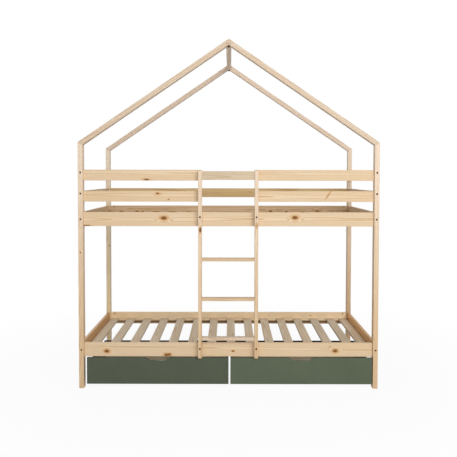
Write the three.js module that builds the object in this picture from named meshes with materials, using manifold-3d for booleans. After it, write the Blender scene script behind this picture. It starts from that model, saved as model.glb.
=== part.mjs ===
// House bunk bed in natural pine: two slatted decks between four posts, a gabled roof outline over
// each long side joined by one ridge beam, guard rails round the upper deck, a ladder in front, and
// two rolling drawers under the lower deck.
//
// Millimetres, +Z up, +X along the bed to the right of a viewer who faces the ladder side, and +Y
// towards the wall side. The origin is on the floor, under the centre of the bounding box.

import * as THREE from 'three';
import { mergeVertices } from 'three/addons/utils/BufferGeometryUtils.js';
import Module from 'manifold-3d';

const wasm = await Module();
wasm.setup();

// Driving dimensions: the timber frame
const bedLength = 1980;
const bedWidth = 1000;
const postWidth = 32;
const postDepth = 52;
const eaveHeight = 1630;
const roofSlope = THREE.MathUtils.degToRad(34.2);
const ridgeWidth = 34;
const ridgeHeight = 34;
const ridgeDrop = 8;
const mitreGap = 0.3;
const edgeChamfer = 1.5;

// Driving dimensions: rails, guard rails and slats
const boardThickness = 20;
const sideRailHeight = 93;
const lowerRailBottom = 210;
const upperRailBottom = 1078;
const guardHeight = 71;
const lowerGuardBottom = 1240;
const upperGuardBottom = 1379;
const ledgerWidth = 20;
const ledgerHeight = 13;
const ledgerEndGap = 6;
const slatWidth = 60;
const slatPitch = 134.2;
const smallestSlatGap = 20;
const slatThickness = 17;
const slatTopBelowRailTop = 47;
const slatSideGap = 1;
const firstSlatGap = 6;
const lastSlatGap = 2;
const tapeWidth = 16;
const tapeThickness = 1.5;

// Driving dimensions: the ladder
const ladderCentreX = -2;
const ladderClearWidth = 346;
const uprightWidth = 24;
const uprightDepth = 45;
const uprightTopDrop = 7;
const rungThickness = 21;
const rungDepth = 40;
const rungCount = 3;
const firstRungBottom = 327.5;
const rungSpacing = 261.5;

// Driving dimensions: bolts and their holes
const boltHole = 7;
const boltHeadHole = 13;
const boltHeadDepth = 6;
const boltReach = 52;
const nutHole = 12;
const nutHoleDepth = 15;
const nutSetback = 30;
const guardBoltOffset = 17;
const sideRailBoltOffset = 35;
const ladderBoltRise = 16;
const ladderBoltShank = 6.4;
const ladderBoltHead = 12.4;
const ladderBoltHeadThickness = 4;
const capNutDiameter = 13;
const capNutLength = 7;

// Driving dimensions: the drawers
const drawerDepth = 600;
const drawerFrontThickness = 16;
const drawerFrontBottom = 28;
const drawerRailGap = 5;
const drawerRecess = 6;
const drawerMiddleGap = 12;
const drawerLeftGap = 18.5;
const drawerRightGap = 3.5;
const panelThickness = 12;
const panelInset = 2.5;
const panelTop = 165;
const drawerBottomThickness = 5;
const gripTopWidth = 168;
const gripFlatWidth = 96;
const gripDepth = 20;
const gripCornerRadius = 12;
const wheelRadius = 20;
const wheelWidth = 14;
const wheelClearance = 3;
const wheelInset = 80;
const lugWidth = 46;
const lugFootWidth = 26;
const lugDrop = 12;
const axleDiameter = 8;
const axleRunningGap = 0.3;
const axleCollarDiameter = 14;
const axleCollarLength = 1;
const axleCapLength = 2;

// Facets of the round pieces
const holeSides = 12;
const axleSides = 16;
const wheelSides = 28;

// Sizes that follow from the driving dimensions
const ladderProud = uprightDepth - (postDepth - boardThickness) / 2;
const overallDepth = bedWidth + ladderProud;
const postFrontY = -overallDepth / 2 + ladderProud;
const postBackY = overallDepth / 2;
const postInnerX = bedLength / 2 - postWidth;
const railRecess = (postDepth - boardThickness) / 2;
const endRailRecess = (postWidth - boardThickness) / 2;
const frontRailY = postFrontY + railRecess;
const backRailY = postBackY - railRecess - boardThickness;
const endRailX = bedLength / 2 - endRailRecess - boardThickness;
const endRailStartY = postFrontY + postDepth;
const endRailEndY = postBackY - postDepth;
const rafterRise = postWidth / Math.cos(roofSlope);
const mitreDrop = mitreGap / 2 / Math.cos(Math.PI / 4 - roofSlope / 2);
const apexHeight = eaveHeight + (bedLength / 2) * Math.tan(roofSlope);
const ladderLeftX = ladderCentreX - ladderClearWidth / 2;
const ladderRightX = ladderCentreX + ladderClearWidth / 2;
const drawerWidth = (2 * postInnerX - drawerLeftGap - drawerMiddleGap - drawerRightGap) / 2;
const sideRailBottoms = { lower: lowerRailBottom, upper: upperRailBottom };
const guardBottoms = { low: lowerGuardBottom, high: upperGuardBottom };

// Finishes
const pine = new THREE.MeshStandardMaterial({ name: 'pine', color: '#e2c9a6', roughness: 0.6 });
const slatPine = new THREE.MeshStandardMaterial({ name: 'slat pine', color: '#c9b594', roughness: 0.7 });
const paintedBoard = new THREE.MeshStandardMaterial({
  name: 'grey-green painted board',
  color: '#5b6152',
  roughness: 0.5,
});
const plywood = new THREE.MeshStandardMaterial({ name: 'plywood', color: '#b3a88c', roughness: 0.7 });
const castorPlastic = new THREE.MeshStandardMaterial({
  name: 'castor plastic',
  color: '#2b2b2a',
  roughness: 0.5,
});
const boltSteel = new THREE.MeshStandardMaterial({
  name: 'bronzed steel',
  color: '#4a3524',
  roughness: 0.45,
  metalness: 0.8,
});

// Bases that lay a drawn outline on a plane of the bed: the outline's two axes, then the way it is
// extruded.
const facingFront = new THREE.Matrix4().makeBasis(
  new THREE.Vector3(1, 0, 0),
  new THREE.Vector3(0, 0, 1),
  new THREE.Vector3(0, -1, 0),
);
const facingEnd = new THREE.Matrix4().makeBasis(
  new THREE.Vector3(0, 1, 0),
  new THREE.Vector3(0, 0, 1),
  new THREE.Vector3(1, 0, 0),
);

/** Turns a closed geometry into a solid that can be joined and cut. */
function solidFrom(geometry) {
  const bare = geometry.clone();
  bare.deleteAttribute('normal');
  bare.deleteAttribute('uv');
  const merged = mergeVertices(bare);
  return new wasm.Manifold(new wasm.Mesh({
    numProp: 3,
    vertProperties: new Float32Array(merged.attributes.position.array),
    triVerts: new Uint32Array(merged.index.array),
  }));
}

/** Turns a solid back into a geometry with flat faces. */
function geometryFrom(solid) {
  const data = solid.getMesh();
  const indexed = new THREE.BufferGeometry();
  indexed.setAttribute('position', new THREE.BufferAttribute(new Float32Array(data.vertProperties), 3));
  indexed.setIndex(new THREE.BufferAttribute(new Uint32Array(data.triVerts), 1));
  const geometry = indexed.toNonIndexed();
  geometry.computeVertexNormals();
  return geometry;
}

/** Cuts every tool out of a piece. */
function cut(piece, tools) {
  return tools.reduce((rest, tool) => rest.subtract(tool), piece);
}

/** A board with the given outline, extruded by its thickness, with its face edges chamfered. */
function outlineBoard(shape, thickness, basis, chamfer = edgeChamfer) {
  const geometry = new THREE.ExtrudeGeometry(shape, {
    depth: thickness - 2 * chamfer,
    bevelEnabled: true,
    bevelThickness: chamfer,
    bevelSize: chamfer,
    bevelOffset: -chamfer,
    bevelSegments: 1,
    curveSegments: 4,
  });
  geometry.translate(0, 0, chamfer);
  geometry.applyMatrix4(basis);
  return solidFrom(geometry);
}

/** A closed polygon as a shape, from [across, up] corners. */
function polygon(corners) {
  return new THREE.Shape(corners.map(([across, up]) => new THREE.Vector2(across, up)));
}

/** A rectangle as a shape, between two opposite corners. */
function rectangle(left, bottom, right, top) {
  return polygon([[left, bottom], [right, bottom], [right, top], [left, top]]);
}

/** A board along the bed, seen on its face from the front. */
function longBoard({ x0, x1, y0, z0, height, thickness = boardThickness }) {
  const board = outlineBoard(rectangle(x0, z0, x1, z0 + height), thickness, facingFront);
  return board.translate([0, y0 + thickness, 0]);
}

/** A board across the bed, seen on its face from the end. */
function crossBoard({ x0, y0, y1, z0, height, thickness = boardThickness }) {
  const board = outlineBoard(rectangle(y0, z0, y1, z0 + height), thickness, facingEnd);
  return board.translate([x0, 0, 0]);
}

/** A plain block between two opposite corners. */
function block([x0, y0, z0], [x1, y1, z1]) {
  const geometry = new THREE.BoxGeometry(x1 - x0, y1 - y0, z1 - z0);
  geometry.translate((x0 + x1) / 2, (y0 + y1) / 2, (z0 + z1) / 2);
  return solidFrom(geometry);
}

/** A cylinder along Y from y0 to y1. */
function rodAlongY(diameter, x, z, y0, y1, sides = holeSides) {
  const geometry = new THREE.CylinderGeometry(diameter / 2, diameter / 2, y1 - y0, sides);
  geometry.translate(x, (y0 + y1) / 2, z);
  return solidFrom(geometry);
}

/** A cylinder along X from x0 to x1, in either order. */
function rodAlongX(diameter, y, z, x0, x1, sides = holeSides) {
  const geometry = new THREE.CylinderGeometry(diameter / 2, diameter / 2, Math.abs(x1 - x0), sides);
  geometry.rotateZ(Math.PI / 2);
  geometry.translate((x0 + x1) / 2, y, z);
  return solidFrom(geometry);
}

const bed = new THREE.Group();

/** Adds a finished solid to the bed as a named mesh. */
function add(name, solid, material) {
  const mesh = new THREE.Mesh(geometryFrom(solid), material);
  mesh.name = name;
  bed.add(mesh);
}

const cornersOfBed = [
  { name: 'front_left', side: -1, depth: 'front' },
  { name: 'front_right', side: 1, depth: 'front' },
  { name: 'back_left', side: -1, depth: 'back' },
  { name: 'back_right', side: 1, depth: 'back' },
];

/** Heights of the bolts that run into the ends of the end boards, through the posts' faces. */
function faceBoltHeights() {
  const rails = Object.values(sideRailBottoms).map((bottom) => bottom + sideRailHeight / 2);
  const guards = Object.values(guardBottoms).map((bottom) => bottom + guardHeight / 2 + guardBoltOffset);
  return [...rails, ...guards];
}

/** Height of the bolt that runs into each end of a side rail, through the posts' outer sides. */
function sideRailBoltHeight(bottom) {
  return bottom + sideRailHeight / 2 + sideRailBoltOffset;
}

/** Height of the bolt that runs into the end of a long guard rail, through a post's outer side. */
function sideGuardBoltHeight(bottom) {
  return bottom + guardHeight / 2 - guardBoltOffset;
}

/** Heights of the bolts that run into the ends of the long boards, through the posts' outer sides. */
function sideBoltHeights() {
  const rails = Object.values(sideRailBottoms).map(sideRailBoltHeight);
  const guards = Object.values(guardBottoms).map(sideGuardBoltHeight);
  return [...rails, ...guards];
}

/** A post with its mitred top, its bolt holes and the wider holes for the bolt heads. */
function post({ side, depth }) {
  const outerX = side * bedLength / 2;
  const innerX = side * postInnerX;
  const innerTop = eaveHeight + postWidth * Math.tan(roofSlope) - rafterRise;
  const corners = [
    [outerX, 0],
    [innerX, 0],
    [innerX, innerTop - mitreDrop],
    [outerX, eaveHeight - mitreDrop],
  ];
  const outline = polygon(side < 0 ? corners : corners.reverse());
  const y0 = depth === 'front' ? postFrontY : postBackY - postDepth;
  const blank = outlineBoard(outline, postDepth, facingFront).translate([0, y0 + postDepth, 0]);
  const tools = [];
  const boltX = side * (bedLength / 2 - postWidth / 2);
  const headEnd = depth === 'front' ? postFrontY : postBackY;
  const inward = depth === 'front' ? 1 : -1;
  for (const z of faceBoltHeights()) {
    tools.push(rodAlongY(boltHole, boltX, z, y0 - 1, y0 + postDepth + 1));
    const [near, far] = [headEnd - inward, headEnd + inward * boltHeadDepth].sort((a, b) => a - b);
    tools.push(rodAlongY(boltHeadHole, boltX, z, near, far));
  }
  const boltY = y0 + postDepth / 2;
  for (const z of sideBoltHeights()) {
    tools.push(rodAlongX(boltHole, boltY, z, innerX - side, outerX + side));
    tools.push(rodAlongX(boltHeadHole, boltY, z, outerX + side, outerX - side * boltHeadDepth));
  }
  return cut(blank, tools);
}

/** A rafter, mitred to its post at the eave and to its twin at the apex. */
function rafter({ side, depth }) {
  const slope = Math.tan(roofSlope);
  const gap = mitreGap / 2;
  const outerX = bedLength / 2;
  const topAt = (x) => eaveHeight + (outerX - x) * slope;
  const eaveTop = [outerX - mitreDrop, topAt(outerX - mitreDrop)];
  const eaveUnder = [postInnerX - mitreDrop, topAt(postInnerX - mitreDrop) - rafterRise];
  const apexTop = [gap, topAt(gap)];
  const apexUnder = [gap, topAt(gap) - rafterRise];
  const corners = [eaveTop, apexTop, apexUnder, eaveUnder].map(([x, z]) => [side * x, z]);
  const outline = polygon(side > 0 ? corners : corners.reverse());
  const y0 = depth === 'front' ? postFrontY : postBackY - postDepth;
  return outlineBoard(outline, postDepth, facingFront).translate([0, y0 + postDepth, 0]);
}

/** Holes for the bolt and the cross nut at one end of a board that lies along X. */
function longBoardEndHoles({ endX, inward, y0, z, nutFromBack }) {
  const boltY = y0 + boardThickness / 2;
  const nutX = endX + inward * nutSetback;
  const nutStart = nutFromBack ? y0 + boardThickness - nutHoleDepth : y0 - 1;
  const nutEnd = nutFromBack ? y0 + boardThickness + 1 : y0 + nutHoleDepth;
  return [
    rodAlongX(boltHole, boltY, z, endX - inward, endX + inward * boltReach),
    rodAlongY(nutHole, nutX, z, nutStart, nutEnd),
  ];
}

/** Holes for the bolt and the cross nut at one end of a board that lies along Y. */
function crossBoardEndHoles({ endY, inward, x0, z, side }) {
  const boltX = x0 + boardThickness / 2;
  const [near, far] = [endY - inward, endY + inward * boltReach].sort((a, b) => a - b);
  const nutY = endY + inward * nutSetback;
  const innerFace = side > 0 ? x0 : x0 + boardThickness;
  return [
    rodAlongY(boltHole, boltX, z, near, far),
    rodAlongX(nutHole, nutY, z, innerFace - side, innerFace + side * nutHoleDepth),
  ];
}

/** Posts, rafters and the ridge beam that joins the two gables. */
function addFrame() {
  for (const corner of cornersOfBed) {
    add(`post_${corner.name}`, post(corner), pine);
    add(`rafter_${corner.name}`, rafter(corner), pine);
  }
  const ridgeBottom = apexHeight - rafterRise - ridgeDrop;
  const ridge = crossBoard({
    x0: -ridgeWidth / 2,
    y0: endRailStartY,
    y1: endRailEndY,
    z0: ridgeBottom,
    height: ridgeHeight,
    thickness: ridgeWidth,
  });
  add('ridge_beam', ridge, pine);
}

/** Places of the ladder's bolts, on the middle of each upright and above each side rail's middle. */
function ladderBolts() {
  const uprights = { left: ladderLeftX - uprightWidth / 2, right: ladderRightX + uprightWidth / 2 };
  const places = [];
  for (const [level, bottom] of Object.entries(sideRailBottoms)) {
    for (const [side, x] of Object.entries(uprights)) {
      places.push({ level, side, x, z: bottom + sideRailHeight / 2 + ladderBoltRise });
    }
  }
  return places;
}

/** Side rails and end rails of both decks. */
function addDeckRails() {
  for (const [level, z0] of Object.entries(sideRailBottoms)) {
    for (const [depth, y0] of Object.entries({ front: frontRailY, back: backRailY })) {
      const z = sideRailBoltHeight(z0);
      const tools = [-1, 1].flatMap((side) => longBoardEndHoles({
        endX: side * postInnerX,
        inward: -side,
        y0,
        z,
        nutFromBack: depth === 'front',
      }));
      if (depth === 'front') {
        for (const bolt of ladderBolts().filter((place) => place.level === level)) {
          tools.push(rodAlongY(boltHole, bolt.x, bolt.z, y0 - 1, y0 + boardThickness + 1));
        }
      }
      const blank = longBoard({ x0: -postInnerX, x1: postInnerX, y0, z0, height: sideRailHeight });
      add(`side_rail_${level}_${depth}`, cut(blank, tools), pine);
    }
    addEndBoards(`end_rail_${level}`, z0, sideRailHeight, z0 + sideRailHeight / 2);
  }
}

/** One board across each end of the bed, bolted between the front and back posts. */
function addEndBoards(name, z0, height, boltZ) {
  for (const [label, side] of Object.entries({ left: -1, right: 1 })) {
    const x0 = side < 0 ? -endRailX - boardThickness : endRailX;
    const blank = crossBoard({ x0, y0: endRailStartY, y1: endRailEndY, z0, height });
    const tools = [
      ...crossBoardEndHoles({ endY: endRailStartY, inward: 1, x0, z: boltZ, side }),
      ...crossBoardEndHoles({ endY: endRailEndY, inward: -1, x0, z: boltZ, side }),
    ];
    add(`${name}_${label}`, cut(blank, tools), pine);
  }
}

/** Two guard rails on each side of the upper deck, split by the way in over the ladder. */
function addGuardRails() {
  for (const [level, z0] of Object.entries(guardBottoms)) {
    const z = sideGuardBoltHeight(z0);
    const height = guardHeight;
    const frontParts = {
      left: { x0: -postInnerX, x1: ladderLeftX, endX: -postInnerX, inward: 1 },
      right: { x0: ladderRightX, x1: postInnerX, endX: postInnerX, inward: -1 },
    };
    for (const [label, part] of Object.entries(frontParts)) {
      const blank = longBoard({ x0: part.x0, x1: part.x1, y0: frontRailY, z0, height });
      const tools = longBoardEndHoles({ ...part, y0: frontRailY, z, nutFromBack: true });
      add(`guard_${level}_front_${label}`, cut(blank, tools), pine);
    }
    const backTools = [-1, 1].flatMap((side) => longBoardEndHoles({
      endX: side * postInnerX,
      inward: -side,
      y0: backRailY,
      z,
      nutFromBack: false,
    }));
    const back = longBoard({ x0: -postInnerX, x1: postInnerX, y0: backRailY, z0, height });
    add(`guard_${level}_back`, cut(back, backTools), pine);
    addEndBoards(`guard_${level}_end`, z0, height, z0 + height / 2 + guardBoltOffset);
  }
}

/** Left edges of the slats: evenly pitched from the left end, with one last slat at the right end. */
function slatStarts() {
  const first = -postInnerX + firstSlatGap;
  const last = postInnerX - lastSlatGap - slatWidth;
  const lastEven = last - smallestSlatGap - slatWidth;
  const evenCount = Math.floor((lastEven - first) / slatPitch) + 1;
  return [...Array.from({ length: evenCount }, (_, index) => first + index * slatPitch), last];
}

/** The ledgers on the side rails' inner faces and the slats that lie across them. */
function addSlatDecks() {
  const ledgerLength = 2 * (postInnerX - ledgerEndGap);
  const frontLedgerY = frontRailY + boardThickness;
  const backLedgerY = backRailY - ledgerWidth;
  const slatStartY = frontLedgerY + slatSideGap;
  const slatEndY = backRailY - slatSideGap;
  const starts = slatStarts();
  for (const [level, railBottom] of Object.entries(sideRailBottoms)) {
    const slatTop = railBottom + sideRailHeight - slatTopBelowRailTop;
    const slatBottom = slatTop - slatThickness;
    const ledgerBottom = slatBottom - tapeThickness - ledgerHeight;
    for (const [depth, y0] of Object.entries({ front: frontLedgerY, back: backLedgerY })) {
      const ledger = longBoard({
        x0: -ledgerLength / 2,
        x1: ledgerLength / 2,
        y0,
        z0: ledgerBottom,
        height: ledgerHeight,
        thickness: ledgerWidth,
      });
      add(`ledger_${level}_${depth}`, ledger, pine);
    }
    // The slats are stapled to two woven tapes, which lie on the ledgers.
    const tapeInset = (ledgerWidth - tapeWidth) / 2;
    const tapeStarts = [frontLedgerY + tapeInset, backLedgerY + tapeInset];
    let deck = null;
    for (const y0 of tapeStarts) {
      const tape = block(
        [starts[0], y0, slatBottom - tapeThickness],
        [starts.at(-1) + slatWidth, y0 + tapeWidth, slatBottom + tapeThickness],
      );
      deck = deck ? deck.add(tape) : tape;
    }
    for (const x0 of starts) {
      deck = deck.add(block([x0, slatStartY, slatBottom], [x0 + slatWidth, slatEndY, slatTop]));
    }
    add(`slat_deck_${level}`, deck, slatPine);
  }
}

/** Two uprights in front of the rails, the rungs between them, and the four bolts that hold them. */
function addLadder() {
  const uprightY = frontRailY - uprightDepth;
  const uprightTop = upperGuardBottom + guardHeight - uprightTopDrop;
  const uprightStarts = { left: ladderLeftX - uprightWidth, right: ladderRightX };
  for (const [label, x0] of Object.entries(uprightStarts)) {
    const outline = rectangle(x0, lowerRailBottom, x0 + uprightWidth, uprightTop);
    const blank = outlineBoard(outline, uprightDepth, facingFront).translate([0, frontRailY, 0]);
    const tools = ladderBolts().filter((place) => place.side === label).flatMap(({ x, z }) => [
      rodAlongY(boltHole, x, z, uprightY - 1, frontRailY + 1),
      rodAlongY(boltHeadHole, x, z, uprightY - 1, uprightY + boltHeadDepth),
    ]);
    add(`ladder_upright_${label}`, cut(blank, tools), pine);
  }
  const rungY = uprightY + (uprightDepth - rungDepth) / 2;
  for (let index = 0; index < rungCount; index += 1) {
    const z0 = firstRungBottom + index * rungSpacing;
    const rung = longBoard({
      x0: ladderLeftX,
      x1: ladderRightX,
      y0: rungY,
      z0,
      height: rungThickness,
      thickness: rungDepth,
    });
    add(`ladder_rung_${index + 1}`, rung, pine);
  }
  const seatY = uprightY + boltHeadDepth;
  const railBackY = frontRailY + boardThickness;
  for (const { level, side, x, z } of ladderBolts()) {
    const head = rodAlongY(ladderBoltHead, x, z, seatY - ladderBoltHeadThickness, seatY);
    const shank = rodAlongY(ladderBoltShank, x, z, seatY - 1, railBackY + 1);
    const nut = rodAlongY(capNutDiameter, x, z, railBackY, railBackY + capNutLength);
    add(`ladder_bolt_${level}_${side}`, head.add(shank).add(nut), boltSteel);
  }
}

/** Outline of a drawer front, with the grip cut into its top edge. */
function drawerFrontShape(x0, x1, z0, z1) {
  const middle = (x0 + x1) / 2;
  const top = gripTopWidth / 2;
  const flat = gripFlatWidth / 2;
  const run = Math.hypot(top - flat, gripDepth);
  const acrossStep = gripCornerRadius * (top - flat) / run;
  const upStep = gripCornerRadius * gripDepth / run;
  const floor = z1 - gripDepth;
  const shape = new THREE.Shape();
  shape.moveTo(x0, z0);
  shape.lineTo(x1, z0);
  shape.lineTo(x1, z1);
  shape.lineTo(middle + top + gripCornerRadius, z1);
  shape.quadraticCurveTo(middle + top, z1, middle + top - acrossStep, z1 - upStep);
  shape.lineTo(middle + flat + acrossStep, floor + upStep);
  shape.quadraticCurveTo(middle + flat, floor, middle + flat - gripCornerRadius, floor);
  shape.lineTo(middle - flat + gripCornerRadius, floor);
  shape.quadraticCurveTo(middle - flat, floor, middle - flat - acrossStep, floor + upStep);
  shape.lineTo(middle - top + acrossStep, z1 - upStep);
  shape.quadraticCurveTo(middle - top, z1, middle - top - gripCornerRadius, z1);
  shape.lineTo(x0, z1);
  shape.closePath();
  return shape;
}

/** Outline of a drawer's side panel, with a tapered lug under its bottom edge at each axle. */
function drawerSideShape(y0, y1, wheelYs) {
  const corners = [[y0, panelTop], [y0, drawerFrontBottom]];
  for (const y of wheelYs) {
    corners.push([y - lugWidth / 2, drawerFrontBottom]);
    corners.push([y - lugFootWidth / 2, wheelRadius - lugDrop]);
    corners.push([y + lugFootWidth / 2, wheelRadius - lugDrop]);
    corners.push([y + lugWidth / 2, drawerFrontBottom]);
  }
  corners.push([y1, drawerFrontBottom], [y1, panelTop]);
  return polygon(corners);
}

/** A drawer's side panel, with an axle through each lug for the wheels inside it. */
function drawerSide({ x0, inward, innerFace, y0, y1, wheelYs }) {
  const outline = drawerSideShape(y0, y1, wheelYs);
  const panel = outlineBoard(outline, panelThickness, facingEnd).translate([x0, 0, 0]);
  const wheelStart = innerFace + inward * axleCollarLength;
  const wheelEnd = wheelStart + inward * (wheelWidth + 2 * axleRunningGap);
  const capEnd = wheelEnd + inward * axleCapLength;
  return wheelYs.reduce((rest, y) => rest
    .add(rodAlongX(axleCollarDiameter, y, wheelRadius, innerFace - inward, wheelStart, axleSides))
    .add(rodAlongX(axleDiameter, y, wheelRadius, innerFace - inward, wheelEnd + inward, axleSides))
    .add(rodAlongX(axleCollarDiameter, y, wheelRadius, wheelEnd, capEnd, axleSides)), panel);
}

/** A wheel on its axle, standing on the floor. */
function wheel(innerFace, inward, y) {
  const start = innerFace + inward * (axleCollarLength + axleRunningGap);
  const end = start + inward * wheelWidth;
  const bore = axleDiameter + 2 * axleRunningGap / Math.cos(Math.PI / axleSides);
  const tyre = rodAlongX(2 * wheelRadius, y, wheelRadius, start, end, wheelSides);
  return tyre.subtract(rodAlongX(bore, y, wheelRadius, start - inward, end + inward, axleSides));
}

/** One drawer: its front, two sides, back, bottom and four wheels. */
function addDrawer(label, x0) {
  const x1 = x0 + drawerWidth;
  const frontY = postFrontY + drawerRecess;
  const boxY = frontY + drawerFrontThickness;
  const endY = frontY + drawerDepth;
  const front = outlineBoard(
    drawerFrontShape(x0, x1, drawerFrontBottom, lowerRailBottom - drawerRailGap),
    drawerFrontThickness,
    facingFront,
  ).translate([0, boxY, 0]);
  add(`drawer_${label}_front`, front, paintedBoard);

  const wheelPlaces = { front: boxY + wheelInset, back: endY - wheelInset };
  const wheelYs = Object.values(wheelPlaces);
  const innerLeft = x0 + panelInset + panelThickness;
  const innerRight = x1 - panelInset - panelThickness;
  const sides = {
    left: { x0: x0 + panelInset, inward: 1, innerFace: innerLeft },
    right: { x0: innerRight, inward: -1, innerFace: innerRight },
  };
  for (const [sideLabel, side] of Object.entries(sides)) {
    const panel = drawerSide({ ...side, y0: boxY, y1: endY, wheelYs });
    add(`drawer_${label}_side_${sideLabel}`, panel, paintedBoard);
    for (const [place, y] of Object.entries(wheelPlaces)) {
      const roller = wheel(side.innerFace, side.inward, y);
      add(`drawer_${label}_wheel_${place}_${sideLabel}`, roller, castorPlastic);
    }
  }

  const backY = endY - panelThickness;
  const back = longBoard({
    x0: innerLeft,
    x1: innerRight,
    y0: backY,
    z0: drawerFrontBottom,
    height: panelTop - drawerFrontBottom,
    thickness: panelThickness,
  });
  add(`drawer_${label}_back`, back, paintedBoard);

  const floorZ = 2 * wheelRadius + wheelClearance;
  const floor = block([innerLeft, boxY, floorZ], [innerRight, backY, floorZ + drawerBottomThickness]);
  add(`drawer_${label}_bottom`, floor, plywood);
}

/** Two drawers side by side, which fill the width between the posts but for their gaps. */
function addDrawers() {
  addDrawer('left', -postInnerX + drawerLeftGap);
  addDrawer('right', postInnerX - drawerRightGap - drawerWidth);
}

addFrame();
addDeckRails();
addGuardRails();
addSlatDecks();
addLadder();
addDrawers();

export default bed;
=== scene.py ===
"""House bunk bed in clear-lacquered pine, with two painted roll-out drawers.

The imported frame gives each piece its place. Every board is a plate with rounded arrises, worked out
with numpy, and it carries its own wood axes as an attribute, so that one pattern of growth rings and
knots serves them all. Lengths are metres, and a value in millimetres is written as a number times MM.
"""

from __future__ import annotations

import logging
import math
from collections.abc import Iterable, Sequence
from dataclasses import dataclass, field, replace
from enum import Enum
from functools import cached_property

import bpy
import numpy as np
from bpy.types import Material, Mesh, Node, NodeSocket, NodeTree, World
from mathutils import Matrix, Vector

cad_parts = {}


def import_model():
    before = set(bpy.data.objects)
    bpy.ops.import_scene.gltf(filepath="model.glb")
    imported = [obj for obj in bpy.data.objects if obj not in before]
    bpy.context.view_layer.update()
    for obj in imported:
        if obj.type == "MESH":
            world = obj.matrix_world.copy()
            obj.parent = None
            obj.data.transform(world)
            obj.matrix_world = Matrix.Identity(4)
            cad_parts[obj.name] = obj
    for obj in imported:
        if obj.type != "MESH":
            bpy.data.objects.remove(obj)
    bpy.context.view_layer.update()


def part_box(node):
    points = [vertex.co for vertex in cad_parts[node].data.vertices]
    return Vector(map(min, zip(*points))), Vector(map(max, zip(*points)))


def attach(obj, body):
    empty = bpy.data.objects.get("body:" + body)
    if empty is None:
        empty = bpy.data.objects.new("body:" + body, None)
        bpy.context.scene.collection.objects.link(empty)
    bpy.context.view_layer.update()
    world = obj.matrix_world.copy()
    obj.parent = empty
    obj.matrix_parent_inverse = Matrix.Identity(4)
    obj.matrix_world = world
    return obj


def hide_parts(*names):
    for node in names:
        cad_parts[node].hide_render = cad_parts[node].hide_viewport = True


LOG = logging.getLogger("bunk_bed")
MM = 0.001
BED = "bed_frame"
SMOOTH_BELOW = math.radians(12)
SIDES = ("left", "right")
DEPTHS = ("front", "back")
LEVELS = ("lower", "upper")

Pair = tuple[float, float]
Triple = tuple[float, float, float]
Corners = Sequence[Pair]
# A socket to link from, or a node, which stands for its first output
Signal = NodeSocket | Node


class Facing(Enum):
    """The way a drawn face looks, as the across and up axes that a viewer in front of it sees."""

    FRONT = ((1, 0, 0), (0, 0, 1))
    BACK = ((-1, 0, 0), (0, 0, 1))
    RIGHT = ((0, 1, 0), (0, 0, 1))
    LEFT = ((0, -1, 0), (0, 0, 1))
    TOP = ((1, 0, 0), (0, 1, 0))
    BOTTOM = ((-1, 0, 0), (0, 1, 0))

    @property
    def across(self) -> np.ndarray:
        """Unit vector to the viewer's right."""
        return np.array(self.value[0], float)

    @property
    def up(self) -> np.ndarray:
        """Unit vector to the top of the drawn face."""
        return np.array(self.value[1], float)

    @property
    def depth(self) -> np.ndarray:
        """Unit vector away from the viewer, into the piece."""
        return -np.cross(self.across, self.up)


# The way that a piece at one side of the bed looks outwards, and inwards
OUTWARD = {"front": Facing.FRONT, "back": Facing.BACK, "left": Facing.LEFT, "right": Facing.RIGHT}
INWARD = {"front": Facing.BACK, "back": Facing.FRONT, "left": Facing.RIGHT, "right": Facing.LEFT}


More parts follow.
